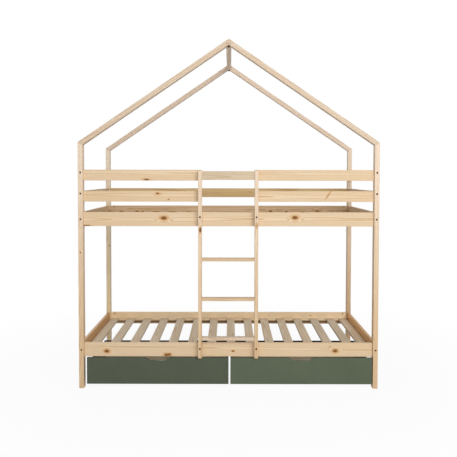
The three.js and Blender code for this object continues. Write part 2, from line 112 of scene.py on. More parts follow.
@dataclass(frozen=True)
class Shell:
    """A closed surface as arrays.

    points is (count, 3), faces is a list of arrays of point numbers, each (count, corners), and
    grain is the wood position of every point, (count, 3).
    """

    points: np.ndarray
    faces: list[np.ndarray]
    grain: np.ndarray

    @classmethod
    def from_rings(cls, rings: np.ndarray, bored: bool = False) -> Shell:
        """Closes a grid of rings into a shell.

        Quads join each ring to the next one. A flat face closes the first and the last ring, and on
        a bored piece the last ring joins the first one instead.

        Args:
            rings: Points, (rings, sides, 3). The first ring runs counter-clockwise as seen from
                outside, and the others follow it into the piece.
            bored: Whether the rings go round a bore.

        Returns:
            The closed shell, with its faces pointing outwards.
        """
        count, sides, _ = rings.shape
        ring, side = np.meshgrid(np.arange(count - (not bored)), np.arange(sides), indexing="ij")
        deeper, following = (ring + 1) % count, (side + 1) % sides
        corners = [
            ring * sides + side,
            deeper * sides + side,
            deeper * sides + following,
            ring * sides + following,
        ]
        faces = [np.stack(corners, axis=-1).reshape(-1, 4)]
        if not bored:
            first = np.arange(sides)[None]
            faces += [first, (first + (count - 1) * sides)[:, ::-1]]
        points = rings.reshape(-1, 3)
        return cls(points, faces, np.zeros_like(points))

    @classmethod
    def from_mesh(cls, mesh: Mesh) -> Shell:
        """Reads a mesh back as arrays.

        Args:
            mesh: The mesh.

        Returns:
            Its shell, with the faces grouped by their number of corners.
        """
        points = np.empty(len(mesh.vertices) * 3)
        corners = np.empty(len(mesh.loops), int)
        starts, totals = np.empty((2, len(mesh.polygons)), int)
        mesh.vertices.foreach_get("co", points)
        mesh.loops.foreach_get("vertex_index", corners)
        mesh.polygons.foreach_get("loop_start", starts)
        mesh.polygons.foreach_get("loop_total", totals)
        sizes = np.unique(totals)
        faces = [corners[starts[totals == size][:, None] + np.arange(size)] for size in sizes]
        points = points.reshape(-1, 3)
        return cls(points, faces, np.zeros_like(points))

    @classmethod
    def joined(cls, shells: Sequence[Shell]) -> Shell:
        """Joins shells into one.

        Args:
            shells: The shells.

        Returns:
            All of them side by side in one shell.
        """
        starts = np.cumsum([0] + [len(shell.points) for shell in shells[:-1]])
        faces = [part + start for shell, start in zip(shells, starts) for part in shell.faces]
        points = np.concatenate([shell.points for shell in shells])
        return cls(points, faces, np.concatenate([shell.grain for shell in shells]))

    @property
    def middle(self) -> np.ndarray:
        """Middle of the box round the shell."""
        return (self.points.min(axis=0) + self.points.max(axis=0)) / 2

    def stamped(self, place: Sequence[float], facing: Facing) -> Shell:
        """A copy of a shell drawn at the origin facing FRONT, set at a place on another face."""
        turn = np.stack([facing.across, facing.depth, facing.up])
        return Shell(self.points @ turn + np.asarray(place), self.faces, self.grain)

    def with_grain(self, wood: WoodAxes) -> Shell:
        """The same shell with the wood position of each of its points."""
        return Shell(self.points, self.faces, wood.position(self.points))

    def to_mesh(self, name: str) -> Mesh:
        """Writes the arrays into a new mesh.

        Args:
            name: The mesh's name.

        Returns:
            The mesh, with the wood positions as its grain attribute.
        """
        mesh = bpy.data.meshes.new(name)
        mesh.vertices.add(len(self.points))
        mesh.vertices.foreach_set("co", self.points.ravel())
        corners = np.concatenate([part.ravel() for part in self.faces])
        sizes = np.concatenate([np.full(len(part), part.shape[1]) for part in self.faces])
        mesh.loops.add(len(corners))
        mesh.loops.foreach_set("vertex_index", corners)
        mesh.polygons.add(len(sizes))
        mesh.polygons.foreach_set("loop_start", np.concatenate([[0], np.cumsum(sizes)[:-1]]))
        mesh.update(calc_edges=True)
        mesh.set_sharp_from_angle(angle=SMOOTH_BELOW)
        attribute = mesh.attributes.new("grain", "FLOAT_VECTOR", "POINT")
        attribute.data.foreach_set("vector", self.grain.ravel())
        return mesh


@dataclass(frozen=True)
class WoodAxes:
    """Where a board lay in its tree: along the fibres, across them, and out from the pith."""

    centre: np.ndarray
    axes: np.ndarray
    offset: np.ndarray

    @classmethod
    def of_board(cls, centre: np.ndarray, along: np.ndarray, depth: np.ndarray, name: str) -> WoodAxes:
        """Wood axes for one board, different for each name but the same on every run.

        Args:
            centre: Middle of the board.
            along: Unit vector along the board.
            depth: Unit vector through the board's thickness.
            name: The board's name, which seeds its place in the tree.

        Returns:
            Axes tilted a little against the board, as sawn boards are, with the pith to one side.
        """
        random = np.random.default_rng(sum(ord(letter) * (index + 7) for index, letter in enumerate(name)))
        tilt = np.radians(random.uniform(-0.9, 0.9, 2))
        across = np.cross(depth, along)
        fibre = along + across * tilt[0] + depth * tilt[1]
        fibre /= np.linalg.norm(fibre)
        side = across - fibre * (across @ fibre)
        side /= np.linalg.norm(side)
        axes = np.stack([fibre, side, np.cross(fibre, side)])
        pith = [random.uniform(-18, 18) * MM, random.choice([-1, 1]) * random.uniform(30, 75) * MM]
        return cls(centre, axes, np.array([random.uniform(3, 60), *pith]))

    def position(self, points: np.ndarray) -> np.ndarray:
        """Wood positions of points: metres along the tree, and across and out from its pith."""
        return (points - self.centre) @ self.axes.T + self.offset


def rectangle(left: float, bottom: float, right: float, top: float) -> Corners:
    """Corners of a rectangle, counter-clockwise from the lower left."""
    return [(left, bottom), (right, bottom), (right, top), (left, top)]


def rounded_outline(
    corners: Corners, radius: float | Sequence[float], steps: int
) -> tuple[np.ndarray, np.ndarray]:
    """Points round a polygon whose corners are arcs.

    At a corner between edges with outward normals a and b, the arc's centre lies back from the
    corner by radius * (a + b) / (1 + a.b), and its points lie at the radius along the directions
    from a to b. A hollow corner has both signs turned round.

    Args:
        corners: The polygon's corners, counter-clockwise, as (across, up).
        radius: One radius, or one for each corner.
        steps: Chords in each arc.

    Returns:
        The points and their outward directions, both (count, 2).
    """
    corners = np.asarray(corners, float)
    radius = np.broadcast_to(np.asarray(radius, float), len(corners))[:, None]
    edges = np.roll(corners, -1, axis=0) - corners
    after = np.stack([edges[:, 1], -edges[:, 0]], axis=1)
    after /= np.linalg.norm(after, axis=1, keepdims=True)
    before = np.roll(after, 1, axis=0)
    dot = np.sum(before * after, axis=1, keepdims=True)
    turn = np.arctan2(before[:, 0] * after[:, 1] - before[:, 1] * after[:, 0], dot[:, 0])[:, None]
    hand = np.sign(turn)
    centres = corners - hand * radius * (before + after) / (1 + dot)
    angles = np.arctan2(before[:, 1], before[:, 0])[:, None] + turn * np.linspace(0, 1, steps + 1)
    directions = np.stack([np.cos(angles), np.sin(angles)], axis=2)
    points = centres[:, None] + (hand * radius)[:, None] * directions
    return points.reshape(-1, 2), directions.reshape(-1, 2)


def plate(
    corners: Corners,
    radius: float | Sequence[float],
    facing: Facing,
    start: float,
    thickness: float,
    arris: float,
    steps: int = 3,
) -> Shell:
    """A flat plate with rounded corners, and with quarter-round arrises on both of its faces.

    Ring t of an arris lies inside the outline by arris * (1 - sin t) and below the face by
    arris * (1 - cos t), for t from 0 to a right angle.

    Args:
        corners: Corners of the drawn face, counter-clockwise, as (across, up).
        radius: Radius of its corners, or one for each corner.
        facing: The way the drawn face looks.
        start: Place of the drawn face along the depth axis.
        thickness: Depth of the plate.
        arris: Radius of the rounded arrises.
        steps: Chords in each corner's arc.

    Returns:
        The closed plate.
    """
    points, directions = rounded_outline(corners, radius, steps)
    angle = np.linspace(0, np.pi / 2, 4)
    inset = arris * (1 - np.sin(angle))
    below = arris * (1 - np.cos(angle))
    inset = np.concatenate([inset, inset[::-1]])[:, None, None]
    below = np.concatenate([below, thickness - below[::-1]])[:, None, None]
    flat = points[None] - inset * directions[None]
    rings = flat[..., :1] * facing.across + flat[..., 1:] * facing.up + (start + below) * facing.depth
    return Shell.from_rings(rings)


def turned(profile: Corners, sides: int = 36, hexagons: int = 0, bored: bool = False) -> Shell:
    """A turned piece that faces FRONT, centred on the origin.

    Ring i is a circle of the profile's radius at its depth. A hexagonal ring's radius is its
    half width across flats over the cosine of the angle to the nearest flat.

    Args:
        profile: (radius, depth) pairs from the front end to the back end.
        sides: Points round each ring.
        hexagons: How many rings are hexagons, from the first one on.
        bored: Whether the profile goes round a bore.

    Returns:
        The closed piece.
    """
    radius, depth = np.array(profile, float).T
    angle = np.linspace(0, 2 * np.pi, sides, endpoint=False)
    flats = 1 / np.cos((angle + np.pi / 6) % (np.pi / 3) - np.pi / 6)
    six = np.arange(len(radius)) < hexagons
    reach = radius[:, None] * np.where(six[:, None], flats[None], 1)
    depth = np.broadcast_to(depth[:, None], reach.shape)
    return Shell.from_rings(np.stack([reach * np.cos(angle), depth, reach * np.sin(angle)], axis=-1), bored)


def drill(radius: float, depth: float) -> Shell:
    """A cutter for a blind hole, which starts a millimetre outside the face."""
    return turned([(radius, -1 * MM), (radius, depth)])


def cut(shell: Shell, tools: Sequence[Shell]) -> Shell:
    """Cuts tools out of a shell with Blender's exact boolean.

    Args:
        shell: The piece.
        tools: Closed shells that don't overlap each other.

    Returns:
        The piece with its holes, without wood positions, or the same piece if there are no tools.
    """
    if not tools:
        return shell
    piece = bpy.data.objects.new("blank", shell.to_mesh("blank"))
    cutter = bpy.data.objects.new("cutter", Shell.joined(tools).to_mesh("cutter"))
    for item in (piece, cutter):
        bpy.context.scene.collection.objects.link(item)
    boolean = piece.modifiers.new("holes", "BOOLEAN")
    boolean.operation = "DIFFERENCE"
    boolean.solver = "EXACT"
    boolean.object = cutter
    graph = bpy.context.evaluated_depsgraph_get()
    result = bpy.data.meshes.new_from_object(piece.evaluated_get(graph))
    holed = Shell.from_mesh(result)
    for mesh in (piece.data, cutter.data, result):
        bpy.data.meshes.remove(mesh)
    return holed


@dataclass(frozen=True)
class NodeBox:
    """A CAD node's box, and how its drawn face is seen."""

    node: str
    facing: Facing = Facing.FRONT

    @cached_property
    def low(self) -> np.ndarray:
        """Lowest corner."""
        return np.array(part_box(self.node)[0])

    @cached_property
    def high(self) -> np.ndarray:
        """Highest corner."""
        return np.array(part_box(self.node)[1])

    @property
    def middle(self) -> np.ndarray:
        """Middle of the box."""
        return (self.low + self.high) / 2

    @property
    def size(self) -> np.ndarray:
        """Length of the box along X, Y and Z."""
        return self.high - self.low

    def span(self, axis: np.ndarray) -> Pair:
        """Lowest and highest place of the box along an axis."""
        ends = self.low @ axis, self.high @ axis
        return min(ends), max(ends)

    @property
    def start(self) -> float:
        """Place of the drawn face along the depth axis."""
        return self.span(self.facing.depth)[0]

    @property
    def corners(self) -> Corners:
        """Corners of the drawn face, counter-clockwise from the lower left."""
        across, up = self.span(self.facing.across), self.span(self.facing.up)
        return rectangle(across[0], up[0], across[1], up[1])

    def face(
        self, facing: Facing, x: float | None = None, y: float | None = None, z: float | None = None
    ) -> np.ndarray:
        """A point on one of the box's faces.

        Args:
            facing: The way that face looks.
            x: The point's place along X, or None for the middle.
            y: Its place along Y, likewise.
            z: Its place along Z, likewise.

        Returns:
            The point.
        """
        behind = np.where(facing.depth < 0, self.high, self.middle)
        middle = np.where(facing.depth > 0, self.low, behind)
        return np.array([own if given is None else given for own, given in zip(middle, (x, y, z))])

    def filled(
        self,
        radius: float | Sequence[float],
        arris: float,
        corners: Corners | None = None,
        steps: int = 3,
    ) -> Shell:
        """A plate as thick as the box, with the drawn face's own corners unless others are given."""
        start, end = self.span(self.facing.depth)
        return plate(corners or self.corners, radius, self.facing, start, end - start, arris, steps)


def linear(colour: str) -> tuple[float, float, float, float]:
    """Turns an sRGB hex colour into the linear colour that a shader takes.

    Args:
        colour: Six hex digits after a hash.

    Returns:
        Red, green, blue and an alpha of 1.
    """
    srgb = np.array([int(colour[place : place + 2], 16) for place in (1, 3, 5)]) / 255
    low, high = srgb / 12.92, ((srgb + 0.055) / 1.055) ** 2.4
    red, green, blue = np.where(srgb <= 0.04045, low, high)
    return (float(red), float(green), float(blue), 1.0)


def new_tree(owner: Material | World) -> NodeTree:
    """Gives a material or a world an empty node tree.

    Args:
        owner: The material or world.

    Returns:
        Its node tree.
    """
    owner.use_nodes = True
    owner.node_tree.nodes.clear()
    return owner.node_tree


def add_node(tree: NodeTree, kind: str, inputs: dict[str | int, object], **settings: object) -> Node:
    """Adds a shader node with its settings, and links or sets its inputs.

    Args:
        tree: The node tree.
        kind: Blender's name of the node type, without its ShaderNode prefix.
        inputs: A signal to link from, or a value, by input name or number.
        **settings: Attributes of the node.

    Returns:
        The new node.
    """
    node = tree.nodes.new("ShaderNode" + kind)
    for name, value in settings.items():
        setattr(node, name, value)
    for name, value in inputs.items():
        value = value.outputs[0] if isinstance(value, Node) else value
        if isinstance(value, NodeSocket):
            tree.links.new(value, node.inputs[name])
        else:
            node.inputs[name].default_value = value
    return node


def set_ramp(node: Node, *stops: tuple[float, str]) -> Node:
    """Sets a colour ramp's stops.

    Args:
        node: The ramp node.
        *stops: Pairs of a position and an sRGB hex colour, in rising order.

    Returns:
        The same node.
    """
    elements = node.color_ramp.elements
    while len(elements) < len(stops):
        elements.new(1.0)
    for element, (position, colour) in zip(elements, stops):
        element.position = position
        element.color = linear(colour)
    return node


@dataclass(frozen=True)
class KnotInWood:
    """A knot's place along and across the wood, its half lengths, and its angle to the fibres."""

    place: Pair
    size: Pair
    lean: float
    streak: bool

    def distance(self, tree: NodeTree, position: Signal) -> Signal:
        """Adds nodes for the distance from the knot's middle, through the board's whole thickness.

        Args:
            tree: The node tree.
            position: The wood position.

        Returns:
            The distance, which is 1 at the knot's edge.
        """
        mapping = {
            "Vector": position,
            "Location": (*self.place, 0.0),
            "Rotation": (0.0, 0.0, self.lean),
            "Scale": (*self.size, 1000.0),
        }
        mapped = add_node(tree, "Mapping", mapping, vector_type="TEXTURE")
        return add_node(tree, "VectorMath", {0: mapped}, operation="LENGTH").outputs["Value"]


@dataclass(frozen=True)
class Knot:
    """A knot or a streak through a board: its place on the drawn face and half lengths, in millimetres.

    A knot is the red-brown end of a branch. A streak is only darker, resin-rich wood. The lean turns
    either from the fibres, in degrees counter-clockwise as seen.
    """

    across: float
    up: float
    long: float
    wide: float
    lean: float = 0.0
    streak: bool = False

    def in_wood(self, view: NodeBox, wood: WoodAxes) -> KnotInWood:
        """Measures the knot on the wood's own axes.

        Args:
            view: The board's box and drawn face.
            wood: The board's wood axes.

        Returns:
            The knot in the wood.
        """
        facing = view.facing
        place = self.across * MM * facing.across + self.up * MM * facing.up + view.start * facing.depth
        along, across, _ = wood.position(place)
        size = (self.long * MM, self.wide * MM)
        return KnotInWood((along, across), size, -math.radians(self.lean), self.streak)


# The larger knots and the orange streaks, where each board shows them, and dark marks on the upper back
# rail that paint shade
KNOTS = {
    "post_front_left": [Knot(-976, 905, 5, 3)],
    "post_back_left": [Knot(-964, 846, 11, 8, streak=True), Knot(-958, 1119, 14, 5)],
    "post_back_right": [Knot(978, 1276, 6, 4)],
    "side_rail_lower_front": [
        Knot(-808, 245, 15, 10),
        Knot(-412, 221, 13, 9),
        Knot(-393, 223, 12, 8),
        Knot(31, 247, 9, 5),
        Knot(710, 249, 15, 10),
        Knot(675, 276, 4, 3),
    ],
    "side_rail_upper_front": [
        Knot(-427, 1132, 20, 11),
        Knot(438, 1136, 18, 11),
        Knot(-938, 1080, 24, 5),
    ],
    "guard_low_front_left": [
        Knot(-468, 1294, 10, 6),
        Knot(-446, 1295, 26, 3, streak=True),
        Knot(-395, 1256, 5, 3),
    ],
    "guard_low_front_right": [Knot(655, 1283, 48, 9, lean=55, streak=True)],
    "guard_high_front_left": [Knot(-541, 1385, 16, 6)],
    "guard_low_back": [Knot(172, 1282, 30, 4, streak=True), Knot(-610, 1262, 9, 5)],
    "guard_high_back": [Knot(-500, 1404, 8, 5), Knot(700, 1400, 6, 4)],
    "side_rail_lower_back": [
        Knot(328, 281, 6, 4, streak=True),
        Knot(667, 278, 13, 7, streak=True),
        Knot(-520, 232, 12, 7),
    ],
    "side_rail_upper_back": [
        Knot(183, 1095, 10, 6),
        # From here on, dark knots along the slats' top level are painted shade in the gaps between the
        # slats' far ends
        Knot(338, 1124, 13, 8),
        Knot(466, 1122, 10, 6),
        Knot(715, 1124, 16, 9),
        Knot(-868, 1120, 14, 6),
        Knot(-741, 1121, 15, 7),
        Knot(-694, 1121, 10, 6),
        Knot(-586, 1119, 28, 5),
        Knot(-457, 1119, 28, 5),
        Knot(-324, 1119, 24, 5),
        Knot(578, 1119, 28, 5),
    ],
    "ladder_upright_left": [Knot(-185, 1057, 15, 6.5)],
    "ladder_upright_right": [Knot(184, 1086, 28, 12, streak=True)],
}


@dataclass(frozen=True)
class Finish:
    """A surface, named for the real one, whose subclasses say what a shader makes of it."""

    name: str

    def surface(self, tree: NodeTree, marks: Sequence[KnotInWood]) -> dict[str | int, object]:
        """The signals and values of the shader's inputs."""
        raise NotImplementedError

    def build(self, suffix: str = "", marks: Sequence[KnotInWood] = ()) -> Material:
        """Builds the material.

        Args:
            suffix: Added to the finish's name, for a board with knots of its own.
            marks: The board's own knots and streaks.

        Returns:
            The material.
        """
        material = bpy.data.materials.new(self.name + suffix)
        tree = new_tree(material)
        shader = add_node(tree, "BsdfPrincipled", self.surface(tree, marks))
        add_node(tree, "OutputMaterial", {"Surface": shader})
        return material


@dataclass(frozen=True)
class PineFinish(Finish):
    """Planed pine under clear satin lacquer.

    Spring growth is pale straw, and the hard late growth of each ring is a thin amber line, so
    flat-sawn faces show long pointed arches and ends show arcs. Knots are the red-brown ends of
    branches, with a dark bark line and an amber halo that the rings bend round. An upright board
    may turn paler towards its top, a painted sheen for the brighter light there. A pattern's cells are
    counted in a metre along the fibres, across them and out from the pith. A mark's edge says at which
    distances, in its own half lengths, its colour has gone and is full, and what share of it shows there.
    """

    early: str = "#e7d0b0"
    late: str = "#cfad80"
    blush: str = "#ddbe96"
    ring_spacing: float = 3.6 * MM
    ring_wander: float = 9 * MM
    ring_bend: float = 5 * MM
    ring_bend_range: Pair = (0.6, 4.0)
    wander_cells: Triple = (1.1, 11.0, 11.0)
    patch_cells: Triple = (1.3, 9.0, 9.0)
    patch_range: Pair = (0.38, 0.68)
    patch_share: float = 0.55
    fibre_cells: Triple = (22.0, 1000.0, 1000.0)
    fibre_range: Pair = (0.2, 0.8)
    fibre_shade: Pair = (0.93, 1.05)
    knot_heart: str = "#5e3712"
    knot_rim: str = "#875823"
    knot_halo: str = "#cf9a5c"
    knot_wave: float = 4 * MM
    knot_wave_cells: float = 140.0
    streak: str = "#b98447"
    # Painted sheen: a paler colour laid on with height, standing in for the brighter light on the upper
    # part
    sapwood: str | None = None
    painted_sheen_share: float = 0.8
    painted_sheen_heights: Pair = (0.3, 1.5)
    relief: float = 0.1 * MM
    roughness: float = 0.5
    gloss: float = 0.25
    wild_knots: bool = False
    wild_cells: float = 4.0
    wild_reach: float = 30.0
    knot_edge: Triple = (1.15, 0.9, 0.95)
    halo_edge: Triple = (2.6, 1.0, 0.75)
    streak_edge: Triple = (1.1, 0.3, 0.75)
    slot: str = "pine"

    def surface(self, tree: NodeTree, marks: Sequence[KnotInWood]) -> dict[str | int, object]:
        """Rings, patches and fibres, with the knots and streaks laid over them.

        Args:
            tree: The node tree.
            marks: The board's own knots and streaks.

        Returns:
            The signals and values of the shader's inputs.
        """
        grain = add_node(tree, "Attribute", {}, attribute_name="grain").outputs["Vector"]
        wavy = self._wavy(tree, grain)
        knots = self._nearest(tree, [mark.distance(tree, wavy) for mark in marks if not mark.streak])
        if self.wild_knots:
            knots = self._nearest(tree, [knots, self._wild(tree, wavy)])
        streaks = self._nearest(tree, [mark.distance(tree, wavy) for mark in marks if mark.streak])
        rings = self._ring_phase(tree, grain, knots)
        fibres = self._clouds(tree, grain, self.fibre_cells, 2.0)
        colour = self._wood_colour(tree, grain, rings, fibres)
        if streaks is not None:
            colour = self._overlay(tree, colour, linear(self.streak), streaks, self.streak_edge)
        if knots is not None:
            colour = self._knot_colour(tree, colour, knots)
        low, high = self.fibre_range
        rough = {0: fibres, 1: low, 2: high, 3: self.roughness - 0.05, 4: self.roughness + 0.07}
        height = add_node(tree, "Math", {0: rings, 1: 0.5, 2: fibres}, operation="MULTIPLY_ADD")
        return {
            "Base Color": colour,
            "Roughness": add_node(tree, "MapRange", rough),
            "Normal": add_node(tree, "Bump", {"Strength": 0.3, "Distance": self.relief, "Height": height}),
            "Specular IOR Level": self.gloss,
        }

    @staticmethod
    def _clouds(tree: NodeTree, grain: Signal, cells: Triple, detail: float) -> Node:
        """Adds soft noise with so many cells in a metre along, across and out of the wood."""
        stretch = add_node(tree, "VectorMath", {0: grain, 1: cells}, operation="MULTIPLY")
        return add_node(tree, "TexNoise", {"Vector": stretch, "Scale": 1.0, "Detail": detail})

    def _wavy(self, tree: NodeTree, grain: Signal) -> Signal:
        """Shifts the wood position a little, so that a knot's outline isn't a true ellipse.

        Args:
            tree: The node tree.
            grain: The wood position.

        Returns:
            The position, shifted by up to half the knot wave each way.
        """
        wave = add_node(tree, "TexNoise", {"Vector": grain, "Scale": self.knot_wave_cells, "Detail": 2.0})
        centred = add_node(
            tree, "VectorMath", {0: wave.outputs["Color"], 1: (0.5, 0.5, 0.5)}, operation="SUBTRACT"
        )
        reach = (self.knot_wave,) * 3
        return add_node(tree, "VectorMath", {0: centred, 1: reach, 2: grain}, operation="MULTIPLY_ADD")

    @staticmethod
    def _nearest(tree: NodeTree, distances: Sequence[Signal | None]) -> Signal | None:
        """Adds nodes for the smallest of several distances.

        Args:
            tree: The node tree.
            distances: Distances, of which some may be None.

        Returns:
            The smallest one, or None if there are none.
        """
        nearest = None
        for distance in distances:
            if nearest is not None and distance is not None:
                distance = add_node(tree, "Math", {0: nearest, 1: distance}, operation="MINIMUM")
            nearest = nearest if distance is None else distance
        return nearest

    def _wild(self, tree: NodeTree, position: Signal) -> Signal:
        """Adds nodes for the distance to scattered small knots, about one in each 25 cm of a board.

        Args:
            tree: The node tree.
            position: The wood position.

        Returns:
            The distance, which is 1 at a knot's edge.
        """
        flat = add_node(tree, "VectorMath", {0: position, 1: (1.0, 1.5, 0.0)}, operation="MULTIPLY")
        inputs = {"Vector": flat, "Scale": self.wild_cells}
        cells = add_node(tree, "TexVoronoi", inputs, voronoi_dimensions="2D")
        return add_node(tree, "Math", {0: cells, 1: self.wild_reach}, operation="MULTIPLY")

    def _ring_phase(self, tree: NodeTree, grain: Signal, knots: Signal | None) -> Signal:
        """Adds nodes for the place within a growth ring, out of the distance from the pith.

        Args:
            tree: The node tree.
            grain: The wood position.
            knots: Distance from the nearest knot, if there is one.

        Returns:
            The place, from 0 to 1.
        """
        radial = add_node(tree, "VectorMath", {0: grain, 1: (0.0, 1.0, 1.0)}, operation="MULTIPLY")
        radius = add_node(tree, "VectorMath", {0: radial}, operation="LENGTH").outputs["Value"]
        wander = self._clouds(tree, grain, self.wander_cells, 2.5)
        moved = add_node(
            tree, "Math", {0: wander, 1: self.ring_wander, 2: radius}, operation="MULTIPLY_ADD"
        )
        if knots is not None:
            near, far = self.ring_bend_range
            fade = {0: knots, 1: near, 2: far, 3: self.ring_bend, 4: 0.0}
            bend = add_node(tree, "MapRange", fade, interpolation_type="SMOOTHSTEP")
            moved = add_node(tree, "Math", {0: moved, 1: bend}, operation="ADD")
        turns = add_node(tree, "Math", {0: moved, 1: self.ring_spacing}, operation="DIVIDE")
        return add_node(tree, "Math", {0: turns}, operation="FRACT")

    def _wood_colour(self, tree: NodeTree, grain: Signal, rings: Signal, fibres: Signal) -> Signal:
        """Adds nodes for clear wood: rings, wide patches of warmer tone, fibres and a painted sheen that
        pales it towards the top.

        Args:
            tree: The node tree.
            grain: The wood position.
            rings: Place within a growth ring.
            fibres: The fibres' noise.

        Returns:
            The colour.
        """
        early, late = self.early, self.late
        toned = set_ramp(
            add_node(tree, "ValToRGB", {"Fac": rings}),
            (0.0, early), (0.45, early), (0.86, late), (0.95, late), (1.0, early),
        )
        patches = self._clouds(tree, grain, self.patch_cells, 3.0)
        tones = [(self.blush, patches, self.patch_range, self.patch_share)]
        # Painted sheen: the wood pales with height, standing in for the brighter light on the upper part
        if self.sapwood:
            place = add_node(tree, "TexCoord", {}).outputs["Object"]
            height = add_node(tree, "SeparateXYZ", {0: place}).outputs["Z"]
            tones.append((self.sapwood, height, self.painted_sheen_heights, self.painted_sheen_share))
        for colour, signal, (low, high), most in tones:
            share = add_node(tree, "MapRange", {0: signal, 1: low, 2: high, 3: 0.0, 4: most})
            layers = {"Factor": share, "A": toned, "B": linear(colour)}
            toned = add_node(tree, "Mix", layers, data_type="RGBA").outputs["Result"]
        (low, high), (dark, bright) = self.fibre_range, self.fibre_shade
        shade = add_node(tree, "MapRange", {0: fibres, 1: low, 2: high, 3: dark, 4: bright})
        return add_node(tree, "VectorMath", {0: toned, "Scale": shade}, operation="SCALE")

    @staticmethod
    def _overlay(
        tree: NodeTree,
        wood: Signal,
        colour: tuple[float, float, float, float] | Signal,
        distance: Signal,
        edge: Triple,
    ) -> Signal:
        """Lays a colour over the wood near a mark, fading over its edge.

        Args:
            tree: The node tree.
            wood: The wood's colour.
            colour: The mark's colour.
            distance: Distance from the mark.
            edge: Distances at which the colour has gone and is full, and its share there.

        Returns:
            The mixed colour.
        """
        gone, full, share = edge
        near = {0: distance, 1: full, 2: gone, 3: share, 4: 0.0}
        inside = add_node(tree, "MapRange", near, interpolation_type="SMOOTHSTEP")
        layers = {"Factor": inside, "A": wood, "B": colour}
        return add_node(tree, "Mix", layers, data_type="RGBA").outputs["Result"]

    def _knot_colour(self, tree: NodeTree, wood: Signal, knots: Signal) -> Signal:
        """Lays the knots' halos, hearts and bark lines over the wood's colour.

        Args:
            tree: The node tree.
            wood: The wood's colour.
            knots: Distance from the nearest knot.

        Returns:
            The mixed colour.
        """
        heart = set_ramp(
            add_node(tree, "ValToRGB", {"Fac": knots}),
            (0.25, self.knot_heart), (0.5, self.knot_rim), (0.9, self.knot_rim), (1.0, self.knot_heart),
        )
        warm = self._overlay(tree, wood, linear(self.knot_halo), knots, self.halo_edge)
        return self._overlay(tree, warm, heart, knots, self.knot_edge)


@dataclass(frozen=True)
class PaintFinish(Finish):
    """Sprayed satin paint on MDF: an even colour with a faint orange-peel relief."""

    colour: str
    shade: str
    cloud_cells: float = 9.0
    peel: float = 2.5 * MM
    relief: float = 0.05 * MM
    roughness: float = 0.48
    roughness_spread: float = 0.06
    gloss: float = 0.4
    slot: str = "painted_board"

    def surface(self, tree: NodeTree, marks: Sequence[KnotInWood]) -> dict[str | int, object]:
        """Wide clouds of two close tones, and the peel's relief.

        Args:
            tree: The node tree.
            marks: Unused, as paint covers the knots.

        Returns:
            The signals and values of the shader's inputs.
        """
        place = add_node(tree, "TexCoord", {}).outputs["Object"]
        clouds = add_node(tree, "TexNoise", {"Vector": place, "Scale": self.cloud_cells, "Detail": 4.0})
        peel = add_node(tree, "TexNoise", {"Vector": place, "Scale": 1 / self.peel, "Detail": 1.0})
        low, high = self.roughness - self.roughness_spread, self.roughness + self.roughness_spread
        ramp = add_node(tree, "ValToRGB", {"Fac": clouds})
        return {
            "Base Color": set_ramp(ramp, (0.3, self.shade), (0.7, self.colour)),
            "Roughness": add_node(tree, "MapRange", {0: clouds, 3: low, 4: high}),
            "Normal": add_node(tree, "Bump", {"Strength": 0.2, "Distance": self.relief, "Height": peel}),
            "Specular IOR Level": self.gloss,
        }


@dataclass(frozen=True)
class WebbingFinish(Finish):
    """Woven polyester tape: flat yarns over and under each other, a millimetre and a half apart."""

    colour: str
    shade: str
    yarn: float = 1.5 * MM
    relief: float = 0.3 * MM
    roughness: float = 0.85
    slot: str = "slat_pine"

    def surface(self, tree: NodeTree, marks: Sequence[KnotInWood]) -> dict[str | int, object]:
        """The weave, as the product of a sine along the tape and a sine across it.

        Args:
            tree: The node tree.
            marks: Unused, as a tape has no knots.

        Returns:
            The signals and values of the shader's inputs.
        """
        grain = add_node(tree, "Attribute", {}, attribute_name="grain").outputs["Vector"]
        pitch = 2 * math.pi / self.yarn
        turns = add_node(tree, "VectorMath", {0: grain, "Scale": pitch}, operation="SCALE")
        sines = add_node(tree, "VectorMath", {0: turns}, operation="SINE")
        parts = add_node(tree, "SeparateXYZ", {0: sines}).outputs
        weave = add_node(tree, "Math", {0: parts["X"], 1: parts["Y"]}, operation="MULTIPLY")
        ramp = add_node(tree, "ValToRGB", {"Fac": weave})
        return {
            "Base Color": set_ramp(ramp, (0.0, self.shade), (0.5, self.colour)),
            "Roughness": self.roughness,
            "Normal": add_node(tree, "Bump", {"Strength": 0.6, "Distance": self.relief, "Height": weave}),
        }


@dataclass(frozen=True)
class GrainedFinish(Finish):
    """A fine-grained finish: moulded plastic, plated steel or rotary-cut plywood.

    The speckle's size and stretch say which it is: round for plastic and plating, long along X for
    the veneer's fibres.
    """

    colour: str
    shade: str
    speck: float
    stretch: Triple = (1.0, 1.0, 1.0)
    metallic: float = 0.0
    roughness: float = 0.5
    roughness_spread: float = 0.08
    gloss: float = 0.5
    relief: float = 0.05 * MM
    slot: str = "bolt_steel"

    def surface(self, tree: NodeTree, marks: Sequence[KnotInWood]) -> dict[str | int, object]:
        """Specks of two tones, which also roughen the surface and raise it.

        Args:
            tree: The node tree.
            marks: Unused, as only pine has knots.

        Returns:
            The signals and values of the shader's inputs.
        """
        place = add_node(tree, "TexCoord", {}).outputs["Object"]
        drawn = add_node(tree, "VectorMath", {0: place, 1: self.stretch}, operation="MULTIPLY")
        specks = add_node(tree, "TexNoise", {"Vector": drawn, "Scale": 1 / self.speck, "Detail": 3.0})
        low, high = self.roughness - self.roughness_spread, self.roughness + self.roughness_spread
        ramp = add_node(tree, "ValToRGB", {"Fac": specks})
        return {
            "Base Color": set_ramp(ramp, (0.3, self.shade), (0.7, self.colour)),
            "Roughness": add_node(tree, "MapRange", {0: specks, 3: low, 4: high}),
            "Normal": add_node(tree, "Bump", {"Strength": 0.3, "Distance": self.relief, "Height": specks}),
            "Metallic": self.metallic,
            "Specular IOR Level": self.gloss,
        }


